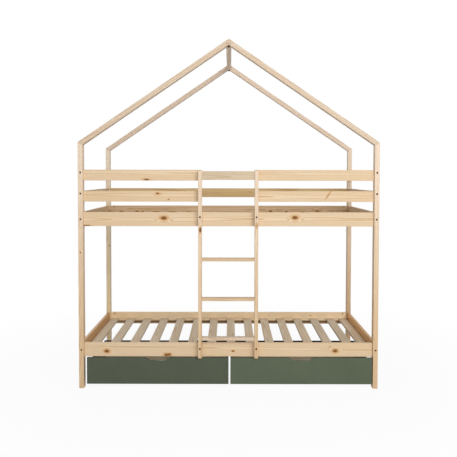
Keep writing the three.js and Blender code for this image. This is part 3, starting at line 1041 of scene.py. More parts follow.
@dataclass
class Workshop:
    """The finishes, and the one place where shells become pieces of the bed.

    No two boards come out of the same tree, so the pine has several tones. Some tones also paint shade, and
    some paint light.
    """

    # Planed pine under satin lacquer: straw yellow with thin amber rings and a soft sheen
    pine: PineFinish = PineFinish("lacquered pine")
    # The same pine with small knots scattered along it
    knotty_pine: PineFinish = PineFinish("knotty lacquered pine", wild_knots=True)
    # Posts and uprights: tan heartwood at the foot, under a painted cream sheen that pales them towards the
    # top
    post_pine: PineFinish = PineFinish(
        "lacquered pine with sapwood", "#e1c6a0", "#c9a377", "#d6b48a", sapwood="#edd8c1"
    )
    # A post of pale outer wood, cream all the way up, under the same painted sheen towards the top
    cream_post_pine: PineFinish = PineFinish(
        "lacquered sapwood pine", "#efdab2", "#dcc090", "#e8cfa4", sapwood="#f4e4cc"
    )
    # A post of darker heartwood, tan at the foot, under the same painted sheen towards the top
    tan_post_pine: PineFinish = PineFinish(
        "lacquered heartwood pine", "#d3b691", "#bb9567", "#c7a57c", sapwood="#f2dfc8"
    )
    # An upright with the black-brown loose knots of dead branches, under the same painted sheen towards the
    # top
    dead_knot_pine: PineFinish = replace(
        post_pine, name="lacquered pine with dead knots", knot_heart="#2e1a0c", knot_rim="#6e4420"
    )
    # Front rafters: fresh pine with a rosy cast, a little greyer than the boards, partly as painted glare
    rafter_pine: PineFinish = PineFinish("rosy lacquered pine", "#ddcab2", "#caad8c", "#d3b89b")
    # Back rafters and the ridge: the same cast, paler, partly as painted glare
    rosy_pine: PineFinish = PineFinish("pale rosy lacquered pine", "#e8d4bf", "#d5b798", "#dec5ab")
    # A board of pale outer wood, cream with faint rings
    pale_pine: PineFinish = PineFinish("pale lacquered pine", "#f0dfc4", "#dcc39d", "#e8d2b2")
    # A bright board with a honey tone, which the lacquer deepens
    honey_pine: PineFinish = PineFinish("honey lacquered pine", "#fbe5c2", "#eac798", "#f4d6ab")
    # A board that has ripened to gold under its lacquer
    golden_pine: PineFinish = PineFinish("golden lacquered pine", "#d7bc8c", "#c09b63", "#cdac75")
    # A board of tan heartwood, duller than the rest, which on the upper back rail also paints the shade
    # near the slats
    tan_pine: PineFinish = PineFinish("tan lacquered pine", "#dcc19f", "#c6a277", "#d1b189")
    # Lower left end rail: pine turned orange-brown with strong rings, as painted shade and painted warm
    # bounce light under the upper deck
    painted_warm_shade_pine: PineFinish = PineFinish("pine warmed and darkened as painted shade", "#dab07c", "#be8b50", "#cc9b62")
    # The same painted shade and bounce light, lighter amber, for the lower right end rail
    lighter_painted_warm_shade_pine: PineFinish = PineFinish("lighter pine warmed as painted shade", "#ecbf8a", "#cf9a5d", "#deac71")
    # Ledgers: pine darkened to brown as painted shade, which reads as a dark line under the slats
    painted_shade_pine: PineFinish = PineFinish("pine darkened to brown as painted shade", "#936d44", "#754f2b", "#825d38")
    # Slats: planed but unlacquered, so matt, and greyer than the boards
    slat_pine: PineFinish = PineFinish(
        "planed slat pine", "#e8d5ba", "#d5ba95", "#deceb5", roughness=0.7, gloss=0.1, slot="slat_pine"
    )
    # Left drawer front: satin grey-green paint, even, with a soft highlight, a little darker than the right
    # front's as painted shade
    paint: PaintFinish = PaintFinish("satin paint on board", "#474f3b", "#424a37")
    # The right drawer's front: the same paint made a little lighter, as painted light for the brighter
    # light on that side
    painted_light_paint: PaintFinish = PaintFinish("lighter satin paint on board", "#525b46", "#4d5641")
    # Drawer boxes: near-black matt paint, as painted shade for the drawers' dark insides
    painted_shade_paint: PaintFinish = PaintFinish(
        "dark paint on board", "#14100b", "#100d09", roughness=0.7, gloss=0.12
    )
    # Drawer bottoms: birch veneer, cream with long fibres and no gloss, its pale tone partly painted light
    # inside the drawer
    plywood: GrainedFinish = GrainedFinish(
        "birch plywood", "#f3e8cf", "#e9dcbf", 3 * MM, (0.06, 1.0, 1.0), roughness=0.65, slot="plywood"
    )
    # Tapes under the slats: undyed polyester with a visible weave
    webbing: WebbingFinish = WebbingFinish("woven tape", "#d9d3c4", "#aca593")
    # Wheels: black-grey moulded nylon with a dull sheen
    castor: GrainedFinish = GrainedFinish(
        "moulded nylon", "#2c2c2b", "#222221", 1.2 * MM, roughness=0.45, slot="castor_plastic"
    )
    # Bolt heads and screws: steel under a brown oxide coat, so dark and hardly metallic
    bronze: GrainedFinish = GrainedFinish(
        "browned steel", "#664225", "#4c2f18", 1.5 * MM, roughness=0.75, gloss=0.12
    )
    # Staples, axles and rung screws: bright zinc plating with a fine spangle
    zinc: GrainedFinish = GrainedFinish(
        "zinc-plated steel", "#b9b7ae", "#9d9a90", 2 * MM, metallic=1.0, roughness=0.38
    )
    # Cross nuts: zinc plating passivated to a dull straw yellow
    brass: GrainedFinish = GrainedFinish(
        "yellow-passivated steel", "#b09a7a", "#8f7b60", 2 * MM, metallic=0.8, roughness=0.45
    )
    made: dict[str, Material] = field(default_factory=dict)
    pieces: int = 0

    def tone(self, node: str) -> PineFinish:
        """The pine that a board is cut from: each tree gave its own tone, and some tones also paint shade
        and light.

        Args:
            node: The board's node.

        Returns:
            The tone beside the first of these names that the node's name starts with, or plain pine.
        """
        tones = {
            "post_back_left": self.cream_post_pine,
            "post_back_right": self.tan_post_pine,
            "post": self.post_pine,
            "rafter_front": self.rafter_pine,
            "rafter_back": self.rosy_pine,
            "ridge_beam": self.rosy_pine,
            "side_rail_lower_back": self.honey_pine,
            # The upper back rail's darker tan is painted shade near the slats
            "side_rail_upper_back": self.tan_pine,
            # The lower end rails' orange-brown is painted shade and bounce light under the upper deck
            "end_rail_lower_left": self.painted_warm_shade_pine,
            "end_rail_lower_right": self.lighter_painted_warm_shade_pine,
            "guard_low_back": self.golden_pine,
            "guard_high_back": self.pale_pine,
            "guard_low_end": self.knotty_pine,
            "guard_high_end": self.knotty_pine,
            # The ledgers' brown is painted shade under the slats
            "ledger": self.painted_shade_pine,
            "ladder_upright_left": self.dead_knot_pine,
            "ladder_upright_right": self.post_pine,
            # The lowest rung's paler tone is painted light, making up for the weaker light that reaches it
            "ladder_rung_1": self.rafter_pine,
            "ladder_rung": self.tan_pine,
        }
        return next((tone for name, tone in tones.items() if node.startswith(name)), self.pine)

    def _material(self, finish: Finish, name: str, marks: Sequence[KnotInWood]) -> Material:
        """The material of a piece.

        Args:
            finish: The piece's finish.
            name: The name that its own material would carry.
            marks: Its own knots and streaks.

        Returns:
            A material of its own if it has knots, and otherwise the one that its finish shares.
        """
        if marks:
            return finish.build(" of " + name, marks)
        if finish.name not in self.made:
            self.made[finish.name] = finish.build()
        return self.made[finish.name]

    def add(
        self,
        name: str,
        shell: Shell,
        finish: PineFinish | PaintFinish | WebbingFinish | GrainedFinish,
        body: str = BED,
        replaces: Sequence[str] = (),
        marks: Sequence[KnotInWood] = (),
    ) -> None:
        """Makes a piece of the bed out of a shell.

        Args:
            name: The piece's name.
            shell: Its closed surface.
            finish: Its finish.
            body: The body that it rides on.
            replaces: CAD nodes that it stands for.
            marks: Its own knots and streaks.
        """
        piece = bpy.data.objects.new(name, shell.to_mesh(name))
        piece.data.materials.append(self._material(finish, name.removesuffix("_board"), marks))
        bpy.context.scene.collection.objects.link(piece)
        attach(piece, body)
        if replaces:
            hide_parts(*replaces)
        self.pieces += 1
        LOG.info("%s: %d points on %s", name, len(shell.points), body)


@dataclass
class Board:
    """One pine board that replaces its CAD node."""

    node: str
    facing: Facing = Facing.FRONT
    upright: bool = False
    corners: Corners | None = None
    along: Triple | None = None
    holes: list[Shell] = field(default_factory=list)
    arris: float = 2.0 * MM
    corner_radius: float = 2.2 * MM

    def build(self, workshop: Workshop) -> None:
        """Builds the board.

        Args:
            workshop: Where finishes and pieces are made.
        """
        view = NodeBox(self.node, self.facing)
        blank = view.filled(self.corner_radius, self.arris, self.corners)
        fibre = self.facing.up if self.upright else self.facing.across
        fibre = fibre if self.along is None else np.array(self.along)
        wood = WoodAxes.of_board(blank.middle, fibre, self.facing.depth, self.node)
        shell = cut(blank, self.holes).with_grain(wood)
        marks = [knot.in_wood(view, wood) for knot in KNOTS.get(self.node, ())]
        tone = workshop.tone(self.node)
        workshop.add(self.node + "_board", shell, tone, replaces=[self.node], marks=marks)


@dataclass
class Joinery:
    """The frame's bolts: where they run, their recesses and heads, and the cross nuts they meet."""

    workshop: Workshop
    recess_diameter: float = 13 * MM
    recess_depth: float = 6 * MM
    head_diameter: float = 11.6 * MM
    head_height: float = 2.6 * MM
    nut_diameter: float = 12 * MM
    nut_slot: float = 1.4 * MM
    nut_hole_depth: float = 15 * MM
    nut_setback: float = 30 * MM
    play: float = 0.2 * MM
    guard_offset: float = 17 * MM
    side_rail_offset: float = 35 * MM
    heads: list[Shell] = field(default_factory=list)
    nuts: list[Shell] = field(default_factory=list)

    @staticmethod
    def heights(rail_offset: float, guard_offset: float) -> list[float]:
        """Heights of the bolts that enter one face of a post.

        Args:
            rail_offset: How far above a deck rail's middle its bolt runs.
            guard_offset: The same for a guard rail.

        Returns:
            The heights.
        """
        offsets = {
            "side_rail_lower_back": rail_offset,
            "side_rail_upper_back": rail_offset,
            "guard_low_back": guard_offset,
            "guard_high_back": guard_offset,
        }
        return [NodeBox(node).middle[2] + offset for node, offset in offsets.items()]

    def recess(self, place: Sequence[float], facing: Facing) -> Shell:
        """A cutter for a bolt head's recess."""
        return drill(self.recess_diameter / 2, self.recess_depth).stamped(place, facing)

    def post_holes(self, depth: str, side: str) -> list[Shell]:
        """Recesses of a post's bolts, each of which also gets its head.

        Args:
            depth: Front or back.
            side: Left or right.

        Returns:
            The cutters.
        """
        box, end, flank = NodeBox(f"post_{depth}_{side}"), OUTWARD[depth], OUTWARD[side]
        end_heights = self.heights(0.0, self.guard_offset)
        side_heights = self.heights(self.side_rail_offset, -self.guard_offset)
        places = [(box.face(end, z=height), end) for height in end_heights]
        places += [(box.face(flank, z=height), flank) for height in side_heights]
        head = self._bolt_head()
        self.heads += [head.stamped(place, facing) for place, facing in places]
        return [self.recess(place, facing) for place, facing in places]

    def _bolt_head(self) -> Shell:
        """A furniture bolt's head with its hexagon socket.

        Returns:
            The head, sunk to the bottom of its recess.
        """
        edge = self.head_diameter / 2
        socket = 2.1 * MM
        face = self.recess_depth - self.head_height
        profile = [
            (socket, face + 2.2 * MM),
            (socket, face),
            (edge - 1.4 * MM, face),
            (edge - 0.4 * MM, face + 0.35 * MM),
            (edge, face + 1.1 * MM),
            (edge, self.recess_depth - 0.05 * MM),
        ]
        return turned(profile, hexagons=2)

    def cross_nuts(
        self, node: str, facing: Facing, offset: float, ends: Sequence[int] = (-1, 1)
    ) -> list[Shell]:
        """Blind holes in a board's hidden face, each of which also gets its cross nut.

        Args:
            node: The board's node.
            facing: The way that face looks.
            offset: How far above the board's middle they lie.
            ends: The bolted ends of the board: -1 for the left or front end, and 1 for the other.

        Returns:
            The cutters.
        """
        box = NodeBox(node)
        axis = int(np.argmax(box.size))
        places = []
        for end in ends:
            place = box.face(facing) + (0.0, 0.0, offset)
            place[axis] = (box.low if end < 0 else box.high)[axis] - end * self.nut_setback
            places.append(place)
        nut = self._cross_nut()
        self.nuts += [nut.stamped(place, facing) for place in places]
        hole = drill(self.nut_diameter / 2 + self.play, self.nut_hole_depth)
        return [hole.stamped(place, facing) for place in places]

    def _cross_nut(self) -> Shell:
        """A cross nut's end with its screwdriver slot.

        Returns:
            The nut, a millimetre below the wood.
        """
        edge = self.nut_diameter / 2
        body = turned([(edge - 0.6 * MM, 1 * MM), (edge, 1.6 * MM), (edge, self.nut_hole_depth - 0.5 * MM)])
        long, wide = edge + 1 * MM, self.nut_slot / 2
        slot = rectangle(-long, -wide, long, wide)
        return cut(body, [plate(slot, 0.1 * MM, Facing.FRONT, 0.0, 2.2 * MM, 0.05 * MM, 1)])

    def build(self) -> None:
        """Builds the bolt heads and cross nuts that the boards have asked for."""
        self.workshop.add("frame_bolt_heads", Shell.joined(self.heads), self.workshop.bronze)
        self.workshop.add("cross_nuts", Shell.joined(self.nuts), self.workshop.brass)


@dataclass
class House:
    """Posts, rafters, the ridge beam and the bolt caps under the apexes."""

    workshop: Workshop
    joinery: Joinery
    cap_diameter: float = 13 * MM
    cap_length: float = 16 * MM
    cap_chamfer: float = 1.5 * MM
    cap_below_ridge: float = 4 * MM

    def build(self) -> None:
        """Builds the four posts, the four rafters, the ridge beam and the caps."""
        for depth in DEPTHS:
            for side in SIDES:
                self._post_and_rafter(depth, side)
        Board("ridge_beam", Facing.BOTTOM, upright=True).build(self.workshop)
        self._caps()

    def _post_and_rafter(self, depth: str, side: str) -> None:
        """Builds a post, mitred at the eave, and its rafter, with its fibres up the slope.

        Args:
            depth: Front or back.
            side: Left or right.
        """
        post, rafter = NodeBox(f"post_{depth}_{side}"), NodeBox(f"rafter_{depth}_{side}")
        # Read forwards on the right and backwards on the left, a list keeps its inner end and its turn
        hand = 1 if side == "right" else -1
        reach = max(abs(post.low[0]), abs(post.high[0]))
        slope = math.atan2(rafter.high[2] - post.high[2], reach)
        width = post.size[0]
        inner, outer = (post.low[0], post.high[0])[::hand]
        bottom, top = post.low[2], post.high[2]
        inner_top = top - width * (1 / math.cos(slope) - math.tan(slope))
        corners = [(outer, bottom), (outer, top), (inner, inner_top), (inner, bottom)][::hand]
        holes = self.joinery.post_holes(depth, side)
        Board(post.node, upright=True, corners=corners, holes=holes).build(self.workshop)
        inner, outer = (rafter.low[0], rafter.high[0])[::hand]
        apex, eave_under = rafter.high[2], rafter.low[2]
        eave_top = apex - abs(outer - inner) * math.tan(slope)
        under_apex = apex - width / math.cos(slope)
        under_eave = (outer - hand * width, eave_under)
        corners = [(outer, eave_top), (inner, apex), (inner, under_apex), under_eave][::hand]
        along = (-hand * math.cos(slope), 0.0, math.sin(slope))
        Board(rafter.node, corners=corners, along=along).build(self.workshop)

    def _caps(self) -> None:
        """Builds the dark cap of the bolt that pulls each pair of rafters together from below."""
        edge = self.cap_diameter / 2
        profile = [(edge - self.cap_chamfer, 0.0), (edge, self.cap_chamfer), (edge, self.cap_length)]
        foot = NodeBox("ridge_beam").low[2] - self.cap_below_ridge
        caps = []
        for depth in DEPTHS:
            rafter = NodeBox(f"rafter_{depth}_left")
            place = (rafter.high[0], rafter.middle[1], foot)
            caps.append(turned(profile).stamped(place, Facing.BOTTOM))
        self.workshop.add("apex_bolt_caps", Shell.joined(caps), self.workshop.bronze)


@dataclass
class Rails:
    """Deck rails and guard rails."""

    workshop: Workshop
    joinery: Joinery
    guards: tuple[tuple[str, tuple[int, ...]], ...] = (
        ("front_left", (-1,)),
        ("front_right", (1,)),
        ("back", (-1, 1)),
    )

    def build(self) -> None:
        """Builds both decks' side and end rails, then the guard rails."""
        rail_offset, guard_offset = self.joinery.side_rail_offset, self.joinery.guard_offset
        for level in LEVELS:
            for depth in DEPTHS:
                self._long(f"side_rail_{level}_{depth}", rail_offset)
            self._ends(f"end_rail_{level}", 0.0)
        for level in ("low", "high"):
            for part, ends in self.guards:
                self._long(f"guard_{level}_{part}", -guard_offset, ends)
            self._ends(f"guard_{level}_end", guard_offset)

    def _long(self, node: str, offset: float, ends: Sequence[int] = (-1, 1)) -> None:
        """Builds a board along the bed, with its cross nuts on the inside."""
        facing = INWARD["front" if "front" in node else "back"]
        Board(node, holes=self.joinery.cross_nuts(node, facing, offset, ends)).build(self.workshop)

    def _ends(self, name: str, offset: float) -> None:
        """Builds the two boards across the ends of the bed, with their cross nuts on the inside.

        Args:
            name: The nodes' name without its side.
            offset: How far above the boards' middle the cross nuts lie.
        """
        for side in SIDES:
            node = f"{name}_{side}"
            holes = self.joinery.cross_nuts(node, INWARD[side], offset)
            Board(node, Facing.RIGHT, holes=holes).build(self.workshop)


@dataclass
class SlatDeck:
    """One slatted deck: ledgers, slats, the two tapes under them and the staples.

    A strip's edges are the radius of its corners and of its arrises.
    """

    workshop: Workshop
    level: str
    slat_width: float = 60 * MM
    slat_pitch: float = 134.2 * MM
    smallest_gap: float = 20 * MM
    slat_thickness: float = 17 * MM
    tape_width: float = 16 * MM
    tape_thickness: float = 1.5 * MM
    staple_crown: float = 10 * MM
    staple_wire: float = 1.1 * MM
    staple_proud: float = 0.25 * MM
    staple_shares: Pair = (0.28, 0.72)
    slat_edges: Pair = (1.4 * MM, 1.3 * MM)
    tape_edges: Pair = (0.6 * MM, 0.4 * MM)
    rounding_slack: float = 1e-6

    @property
    def deck(self) -> NodeBox:
        """The box of the deck's slats."""
        return NodeBox(f"slat_deck_{self.level}", Facing.TOP)

    def build(self) -> None:
        """Builds the deck."""
        starts = self._starts(self.deck.low[0], self.deck.high[0])
        slats = [self._slat(number, start) for number, start in enumerate(starts)]
        name = f"slats_{self.level}"
        self.workshop.add(name, Shell.joined(slats), self.workshop.slat_pine, replaces=[self.deck.node])
        tapes, staples = [], []
        for depth in DEPTHS:
            ledger = f"ledger_{self.level}_{depth}"
            Board(ledger, arris=1.5 * MM, corner_radius=1.7 * MM).build(self.workshop)
            y = NodeBox(ledger).middle[1]
            xs = [start + self.slat_width * share for start in starts for share in self.staple_shares]
            tapes.append(self._tape(y))
            staples += [self._staple(x, y) for x in xs]
        self.workshop.add(f"tapes_{self.level}", Shell.joined(tapes), self.workshop.webbing)
        self.workshop.add(f"staples_{self.level}", Shell.joined(staples), self.workshop.zinc)

    def _starts(self, left: float, right: float) -> np.ndarray:
        """Left edges of the slats: an even pitch from the left, and one last slat at the right.

        Args:
            left: The deck's left end.
            right: Its right end.

        Returns:
            The edges.
        """
        last = right - self.slat_width
        room = last - self.smallest_gap - self.slat_width - left
        count = math.floor(room / self.slat_pitch + self.rounding_slack) + 1
        return np.append(left + self.slat_pitch * np.arange(count), last)

    def _strip(
        self, corners: Corners, edges: Pair, thickness: float, below: float = 0.0
    ) -> Shell:
        """A plate seen from above, so far below the slats' tops."""
        radius, arris = edges
        return plate(corners, radius, Facing.TOP, below - self.deck.high[2], thickness, arris, 2)

    def _slat(self, number: int, start: float) -> Shell:
        """One slat across the bed.

        Args:
            number: The slat's number, which seeds its wood.
            start: Its left edge.

        Returns:
            The slat.
        """
        corners = rectangle(start, self.deck.low[1], start + self.slat_width, self.deck.high[1])
        shell = self._strip(corners, self.slat_edges, self.slat_thickness)
        name = f"{self.level} slat {number}"
        return shell.with_grain(WoodAxes.of_board(shell.middle, Facing.TOP.up, Facing.TOP.depth, name))

    def _tape(self, y: float) -> Shell:
        """The tape under the slats' ends, which lies on the ledger.

        Args:
            y: The tape's middle line.

        Returns:
            The tape, whose places stand for its grain.
        """
        half = self.tape_width / 2
        corners = rectangle(self.deck.low[0], y - half, self.deck.high[0], y + half)
        shell = self._strip(corners, self.tape_edges, self.tape_thickness, self.slat_thickness)
        return Shell(shell.points, shell.faces, shell.points)

    def _staple(self, x: float, y: float) -> Shell:
        """A staple's crown, pressed almost flush into a slat's top, along the slat.

        Args:
            x: The staple's middle.
            y: The same along the slat.

        Returns:
            The crown.
        """
        half, wire = self.staple_crown / 2, self.staple_wire / 2
        corners = rectangle(x - wire, y - half, x + wire, y + half)
        return self._strip(corners, (wire * 0.95, 0.3 * MM), self.staple_wire, -self.staple_proud)


@dataclass
class Ladder:
    """Two uprights, three rungs and their bolts and screws."""

    workshop: Workshop
    joinery: Joinery
    rungs: tuple[str, ...] = ("ladder_rung_1", "ladder_rung_2", "ladder_rung_3")
    screw_inset: float = 10 * MM

    def build(self) -> None:
        """Builds the uprights, the rungs, the four through bolts and the screws into the rungs."""
        bolts, screws = [], []
        for side in SIDES:
            upright = NodeBox(f"ladder_upright_{side}")
            through = [NodeBox(f"ladder_bolt_{level}_{side}").middle for level in LEVELS]
            places = [upright.face(Facing.FRONT, x=bolt[0], z=bolt[2]) for bolt in through]
            holes = [self.joinery.recess(place, Facing.FRONT) for place in places]
            Board(upright.node, upright=True, holes=holes).build(self.workshop)
            bolts += [self._bolt_head().stamped(place, Facing.FRONT) for place in places]
            screws += self._rung_screws(upright, OUTWARD[side])
        for rung in self.rungs:
            Board(rung).build(self.workshop)
        names = [f"ladder_bolt_{level}_{side}" for level in LEVELS for side in SIDES]
        bolts += [self._cap_nut().stamped(NodeBox(name).face(Facing.BACK), Facing.BACK) for name in names]
        self.workshop.add("ladder_bolts", Shell.joined(bolts), self.workshop.bronze, replaces=names)
        self.workshop.add("rung_screws", Shell.joined(screws), self.workshop.zinc)

    @staticmethod
    def _bolt_head() -> Shell:
        """A flat bolt head with its hexagon socket, seated in its recess."""
        profile = [(2.1, 4.4), (2.1, 2.1), (5.0, 2.1), (5.8, 2.4), (6.1, 3.2), (6.1, 5.9)]
        return turned(np.array(profile) * MM, hexagons=2)

    @staticmethod
    def _cap_nut() -> Shell:
        """A domed sleeve nut with its hexagon socket, for the back of the side rail."""
        profile = [(2.1, 3.0), (2.1, 0.0), (3.8, 0.3), (5.6, 1.5), (6.5, 3.6), (6.5, 7.0)]
        return turned(np.array(profile) * MM, hexagons=2)

    def _rung_screws(self, upright: NodeBox, facing: Facing) -> list[Shell]:
        """Two countersunk screws into the end of each rung, in the upright's outer side.

        Args:
            upright: The upright's box.
            facing: The way its outer side looks.

        Returns:
            The screws.
        """
        screw = countersunk_screw()
        shells = []
        for rung in map(NodeBox, self.rungs):
            for y in (rung.low[1] + self.screw_inset, rung.high[1] - self.screw_inset):
                shells.append(screw.stamped(upright.face(facing, y=y, z=rung.middle[2]), facing))
        return shells


def countersunk_screw() -> Shell:
    """A countersunk screw head with a cross recess.

    Returns:
        The head, facing FRONT, with its flat top a hair above the wood.
    """
    edge, arm, half = 3.75 * MM, 2.3 * MM, 0.45 * MM
    head = turned([(edge - 0.2 * MM, -0.15 * MM), (edge, 0.05 * MM), (edge * 0.45, 3 * MM)])
    slot = rectangle(-arm, -half, arm, half)
    for corners in (slot, [(-up, across) for across, up in slot]):
        head = cut(head, [plate(corners, 0.1 * MM, Facing.FRONT, -1 * MM, 2.4 * MM, 0.05 * MM, 1)])
    return head


@dataclass
class SmallScrews:
    """Screws that hold the ledgers, the guards' inner ends and the gables."""

    workshop: Workshop
    ledger_spacing: float = 290 * MM
    apex_spread: float = 11.5 * MM
    apex_drop: float = 31 * MM
    guard_inset: float = 12 * MM

    def build(self) -> None:
        """Builds all the small screws as one piece."""
        screw = countersunk_screw()
        places = [*self._ledger_places(), *self._guard_places(), *self._apex_places()]
        shells = [screw.stamped(place, facing) for place, facing in places]
        self.workshop.add("frame_screws", Shell.joined(shells), self.workshop.bronze)

    def _ledger_places(self) -> list[tuple[np.ndarray, Facing]]:
        """Screws along each ledger's inner face.

        Returns:
            Their places, and the way each looks.
        """
        places = []
        for level in LEVELS:
            for depth in DEPTHS:
                ledger = NodeBox(f"ledger_{level}_{depth}")
                length = ledger.size[0]
                count = round(length / self.ledger_spacing)
                xs = ledger.low[0] + (np.arange(count) + 0.5) * length / count
                places += [(ledger.face(INWARD[depth], x=x), INWARD[depth]) for x in xs]
        return places

    def _guard_places(self) -> list[tuple[np.ndarray, Facing]]:
        """Two screws through the inner end of each front guard into the ladder's upright.

        Returns:
            Their places, and the way each looks.
        """
        places = []
        for level in ("low", "high"):
            for side in SIDES:
                guard = NodeBox(f"guard_{level}_front_{side}")
                ends = {"left": guard.high[0] - self.guard_inset, "right": guard.low[0] + self.guard_inset}
                for rise in (-guard.size[2] / 4, guard.size[2] / 4):
                    place = guard.face(Facing.BACK, x=ends[side], z=guard.middle[2] + rise)
                    places.append((place, Facing.BACK))
        return places

    def _apex_places(self) -> list[tuple[np.ndarray, Facing]]:
        """Two screws through each gable's apex into the end of the ridge beam.

        Returns:
            Their places, and the way each looks.
        """
        places = []
        for depth in DEPTHS:
            rafter = NodeBox(f"rafter_{depth}_left")
            height = rafter.high[2] - self.apex_drop
            for x in (-self.apex_spread, self.apex_spread):
                places.append((rafter.face(OUTWARD[depth], x=x, z=height), OUTWARD[depth]))
        return places


@dataclass
class Drawer:
    """A roll-out drawer: a painted box on four wheels, with a thin plywood bottom.

    A board's edges are the radius of its corners and of its arrises.
    """

    workshop: Workshop
    side: str
    grip_top: float = 168 * MM
    grip_flat: float = 96 * MM
    grip_depth: float = 20 * MM
    grip_radius: float = 16 * MM
    lug_width: float = 46 * MM
    lug_foot: float = 26 * MM
    front_arris: float = 1.6 * MM
    side_edges: Pair = (1.4 * MM, 1.2 * MM)
    back_edges: Pair = (1.2 * MM, 1 * MM)
    bottom_edges: Pair = (0.4 * MM, 0.3 * MM)
    axle_radius: float = 4 * MM
    collar_radius: float = 7 * MM

    @property
    def name(self) -> str:
        """The name of the drawer's body, with which its nodes' names start."""
        return f"drawer_{self.side}"

    def build(self) -> None:
        """Builds the drawer's boards, axles and wheels."""
        # The right front takes the lighter copy of the paint and the left the darker one, as painted light
        # and shade
        coat = self.workshop.painted_light_paint if self.side == "right" else self.workshop.paint
        self._add_board("front", self._front(), coat)
        # The back and the sides are near-black as painted shade inside the drawer
        back = NodeBox(self.name + "_back").filled(*self.back_edges)
        self._add_board("back", back, self.workshop.painted_shade_paint)
        bottom = NodeBox(self.name + "_bottom", Facing.TOP).filled(*self.bottom_edges, steps=1)
        self._add_board("bottom", bottom, self.workshop.plywood)
        for hand in SIDES:
            self._side(hand)
            for place in DEPTHS:
                Wheel(self.side, place, hand).build(self.workshop)

    def _add_board(self, part: str, shell: Shell, finish: PaintFinish | GrainedFinish) -> None:
        """Adds a board of the drawer in place of its node."""
        node = f"{self.name}_{part}"
        self.workshop.add(node + "_board", shell, finish, self.name, [node])

    def _front(self) -> Shell:
        """The front, with the grip cut into its top edge.

        Returns:
            The closed board.
        """
        view = NodeBox(self.name + "_front")
        (left, bottom), (right, _), (_, top), _ = view.corners
        middle, mouth, flat = (left + right) / 2, self.grip_top / 2, self.grip_flat / 2
        corners = [
            (left, bottom),
            (right, bottom),
            (right, top),
            (middle + mouth, top),
            (middle + flat, top - self.grip_depth),
            (middle - flat, top - self.grip_depth),
            (middle - mouth, top),
            (left, top),
        ]
        small, soft = self.front_arris * 1.1, self.grip_radius
        return view.filled([small] * 3 + [soft] * 4 + [small], self.front_arris, corners, 6)

    def _side(self, hand: str) -> None:
        """Builds a side panel with its lugs, and the two axles that stand in them.

        Args:
            hand: The side of the drawer, left or right.
        """
        box, back = NodeBox(f"{self.name}_side_{hand}"), NodeBox(self.name + "_back")
        wheels = [NodeBox(f"{self.name}_wheel_{place}_{hand}").middle for place in DEPTHS]
        edge = NodeBox(self.name + "_front").low[2]
        corners = [(box.low[1], box.high[2]), (box.low[1], edge)]
        for _, y, _ in wheels:
            corners += [
                (y - self.lug_width / 2, edge),
                (y - self.lug_foot / 2, box.low[2]),
                (y + self.lug_foot / 2, box.low[2]),
                (y + self.lug_width / 2, edge),
            ]
        corners += [(box.high[1], edge), (box.high[1], box.high[2])]
        if hand == "left":
            outer, inner, tip = box.low[0], back.low[0], box.high[0]
        else:
            outer, inner, tip = box.high[0], back.high[0], box.low[0]
        radius, arris = self.side_edges
        shell = plate(corners, radius, Facing.RIGHT, -max(outer, inner), abs(inner - outer), arris)
        # The side panel is near-black as painted shade
        self._add_board(f"side_{hand}", shell, self.workshop.painted_shade_paint)
        axle = self._axle(abs(tip - inner))
        axles = [axle.stamped((tip, y, wheels[0][2]), INWARD[hand]) for _, y, _ in wheels]
        self.workshop.add(f"{self.name}_axles_{hand}", Shell.joined(axles), self.workshop.zinc, self.name)

    def _axle(self, reach: float) -> Shell:
        """An axle with a chamfered head outside the wheel and a collar against the side panel.

        Args:
            reach: How far the axle stands out of the panel.

        Returns:
            The axle, with its head to the front.
        """
        profile = [
            (3.0 * MM, 0.2 * MM),
            (self.collar_radius - 0.6 * MM, 0.2 * MM),
            (self.collar_radius, 0.8 * MM),
            (self.collar_radius, 2.0 * MM),
            (self.axle_radius, 2.0 * MM),
            (self.axle_radius, reach - 1.0 * MM),
            (self.collar_radius, reach - 1.0 * MM),
            (self.collar_radius, reach - 0.05 * MM),
        ]
        return turned(profile)


@dataclass
class Wheel:
    """A moulded wheel with a hub, a dished web and a rounded tread."""

    side: str
    place: str
    hand: str
    bore: float = 4.3 * MM
    hub_radius: float = 8 * MM
    rim_width: float = 4.5 * MM
    web_depth: float = 3 * MM
    web_slope: float = 0.6 * MM
    sides: int = 48

    def build(self, workshop: Workshop) -> None:
        """Builds the wheel in place of its node.

        Args:
            workshop: Where finishes and pieces are made.
        """
        box = NodeBox(f"drawer_{self.side}_wheel_{self.place}_{self.hand}")
        radius, width = box.size[2] / 2, box.size[0]
        rim = radius - self.rim_width
        face = [
            (self.bore, 0.0),
            (self.hub_radius, 0.0),
            (self.hub_radius + self.web_slope, self.web_depth),
            (rim - self.web_slope, self.web_depth),
            (rim, 0.0),
            (radius - 1.5 * MM, 0.0),
            (radius - 0.45 * MM, 0.45 * MM),
            (radius, 1.5 * MM),
        ]
        profile = face + [(reach, width - depth) for reach, depth in reversed(face)]
        shell = turned(profile, self.sides, bored=True).stamped(box.face(Facing.RIGHT), Facing.RIGHT)
        body = f"wheel_{self.side}_{self.place}_{self.hand}"
        workshop.add(box.node + "_tyre", shell, workshop.castor, body, [box.node])


@dataclass(frozen=True)
class Lamp:
    """A large square lamp that looks at a point."""

    name: str
    place: Triple
    target: Triple
    size: float
    watts: float

    def build(self) -> None:
        """Adds the lamp to the scene."""
        data = bpy.data.lights.new(self.name, "AREA")
        data.size = self.size
        data.energy = self.watts
        lamp = bpy.data.objects.new(self.name, data)
        towards = Vector(self.place) - Vector(self.target)
        lamp.rotation_euler = towards.to_track_quat("Z", "Y").to_euler()
        lamp.location = self.place
        bpy.context.scene.collection.objects.link(lamp)


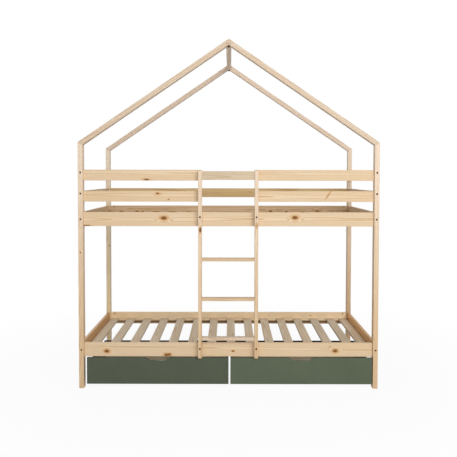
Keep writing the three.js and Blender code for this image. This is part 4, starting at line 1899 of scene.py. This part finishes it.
@dataclass
class Studio:
    """A plain pale room: floor, soft lamps and the camera, fitted to the photograph's view."""

    camera_place: Triple = (0.00488, -4.6486, 1.4053)
    look_down: float = 2.107
    look_left: float = 0.076
    lean: float = 0.0906
    lens_mm: float = 50.0
    sensor_mm: float = 36.0
    shift_up: float = -0.0623
    room_strength: float = 0.3
    floor_size: float = 60.0
    bright_from: float = 1.0
    bright_to: float = 3.0
    bright_share: float = 0.94
    lamps: tuple[Lamp, ...] = (
        Lamp("key", (2.7, -6.8, 4.4), (0.0, 0.0, 0.9), 4.2, 335.0),
        Lamp("fill", (-1.2, -9.0, 1.3), (0.0, 0.0, 0.9), 3.0, 130.0),
        Lamp("back", (-2.0, 6.0, 4.0), (0.0, 0.0, 1.0), 3.0, 90.0),
    )

    def build(self) -> None:
        """Builds the camera, the world, the floor and the lamps."""
        self._camera()
        self._world()
        self._floor()
        for lamp in self.lamps:
            lamp.build()

    def _camera(self) -> None:
        """Sets the camera where the photograph was taken from."""
        data = bpy.data.cameras.new("camera")
        data.lens = self.lens_mm
        data.sensor_width = self.sensor_mm
        data.shift_y = self.shift_up
        camera = bpy.data.objects.new("camera", data)
        turns = ((self.look_left, "Z"), (90 - self.look_down, "X"), (self.lean, "Z"))
        place = Matrix.Translation(self.camera_place)
        for degrees, axis in turns:
            place = place @ Matrix.Rotation(math.radians(degrees), 4, axis)
        camera.matrix_world = place
        bpy.context.scene.collection.objects.link(camera)
        bpy.context.scene.camera = camera

    @staticmethod
    def _seen_directly(tree: NodeTree) -> Node:
        """Adds nodes for what the camera sees directly, in a mirror or through glass.

        Args:
            tree: The node tree.

        Returns:
            1 for such rays, and 0 for light.
        """
        rays = add_node(tree, "LightPath", {}).outputs
        seen = rays["Is Camera Ray"]
        for kind in ("Is Glossy Ray", "Is Transmission Ray"):
            seen = add_node(tree, "Math", {0: seen, 1: rays[kind]}, operation="MAXIMUM")
        return seen

    def _world(self) -> None:
        """White where the camera looks, and an even soft light on the bed."""
        world = bpy.data.worlds.new("room")
        bpy.context.scene.world = world
        tree = new_tree(world)
        light = add_node(tree, "Background", {"Color": linear("#f4f6fb"), "Strength": self.room_strength})
        white = add_node(tree, "Background", {"Color": linear("#ffffff"), "Strength": 1.0})
        mix = add_node(tree, "MixShader", {0: self._seen_directly(tree), 1: light, 2: white})
        add_node(tree, "OutputWorld", {"Surface": mix})

    def _floor(self) -> None:
        """A plain white floor that keeps the bed's shadow."""
        half = self.floor_size / 2
        mesh = bpy.data.meshes.new("floor")
        corners = [(across, up, 0) for across, up in rectangle(-half, -half, half, half)]
        mesh.from_pydata(corners, [], [(0, 1, 2, 3)])
        material = bpy.data.materials.new("floor")
        tree = new_tree(material)
        matt = add_node(tree, "BsdfDiffuse", {"Color": linear("#f2f2f2")})
        white = add_node(tree, "Emission", {"Color": linear("#ffffff"), "Strength": 1.0})
        place = add_node(tree, "TexCoord", {}).outputs["Object"]
        away = add_node(tree, "VectorMath", {0: place}, operation="LENGTH").outputs["Value"]
        fade = {0: away, 1: self.bright_from, 2: self.bright_to, 3: self.bright_share, 4: 1.0}
        shine = add_node(tree, "MapRange", fade, interpolation_type="SMOOTHSTEP")
        share = add_node(tree, "Math", {0: self._seen_directly(tree), 1: shine}, operation="MULTIPLY")
        mix = add_node(tree, "MixShader", {0: share, 1: matt, 2: white})
        add_node(tree, "OutputMaterial", {"Surface": mix})
        mesh.materials.append(material)
        floor = bpy.data.objects.new("floor", mesh)
        bpy.context.scene.collection.objects.link(floor)


def main() -> None:
    """Loads the frame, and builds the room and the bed."""
    logging.basicConfig(level=logging.INFO, format="%(name)s: %(message)s")
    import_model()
    bpy.context.scene.view_settings.view_transform = "Standard"
    Studio().build()
    workshop = Workshop()
    joinery = Joinery(workshop)
    House(workshop, joinery).build()
    Rails(workshop, joinery).build()
    for level in LEVELS:
        SlatDeck(workshop, level).build()
    Ladder(workshop, joinery).build()
    joinery.build()
    SmallScrews(workshop).build()
    for side in SIDES:
        Drawer(workshop, side).build()
    LOG.info("%d pieces", workshop.pieces)


if __name__ == "__main__":
    main()
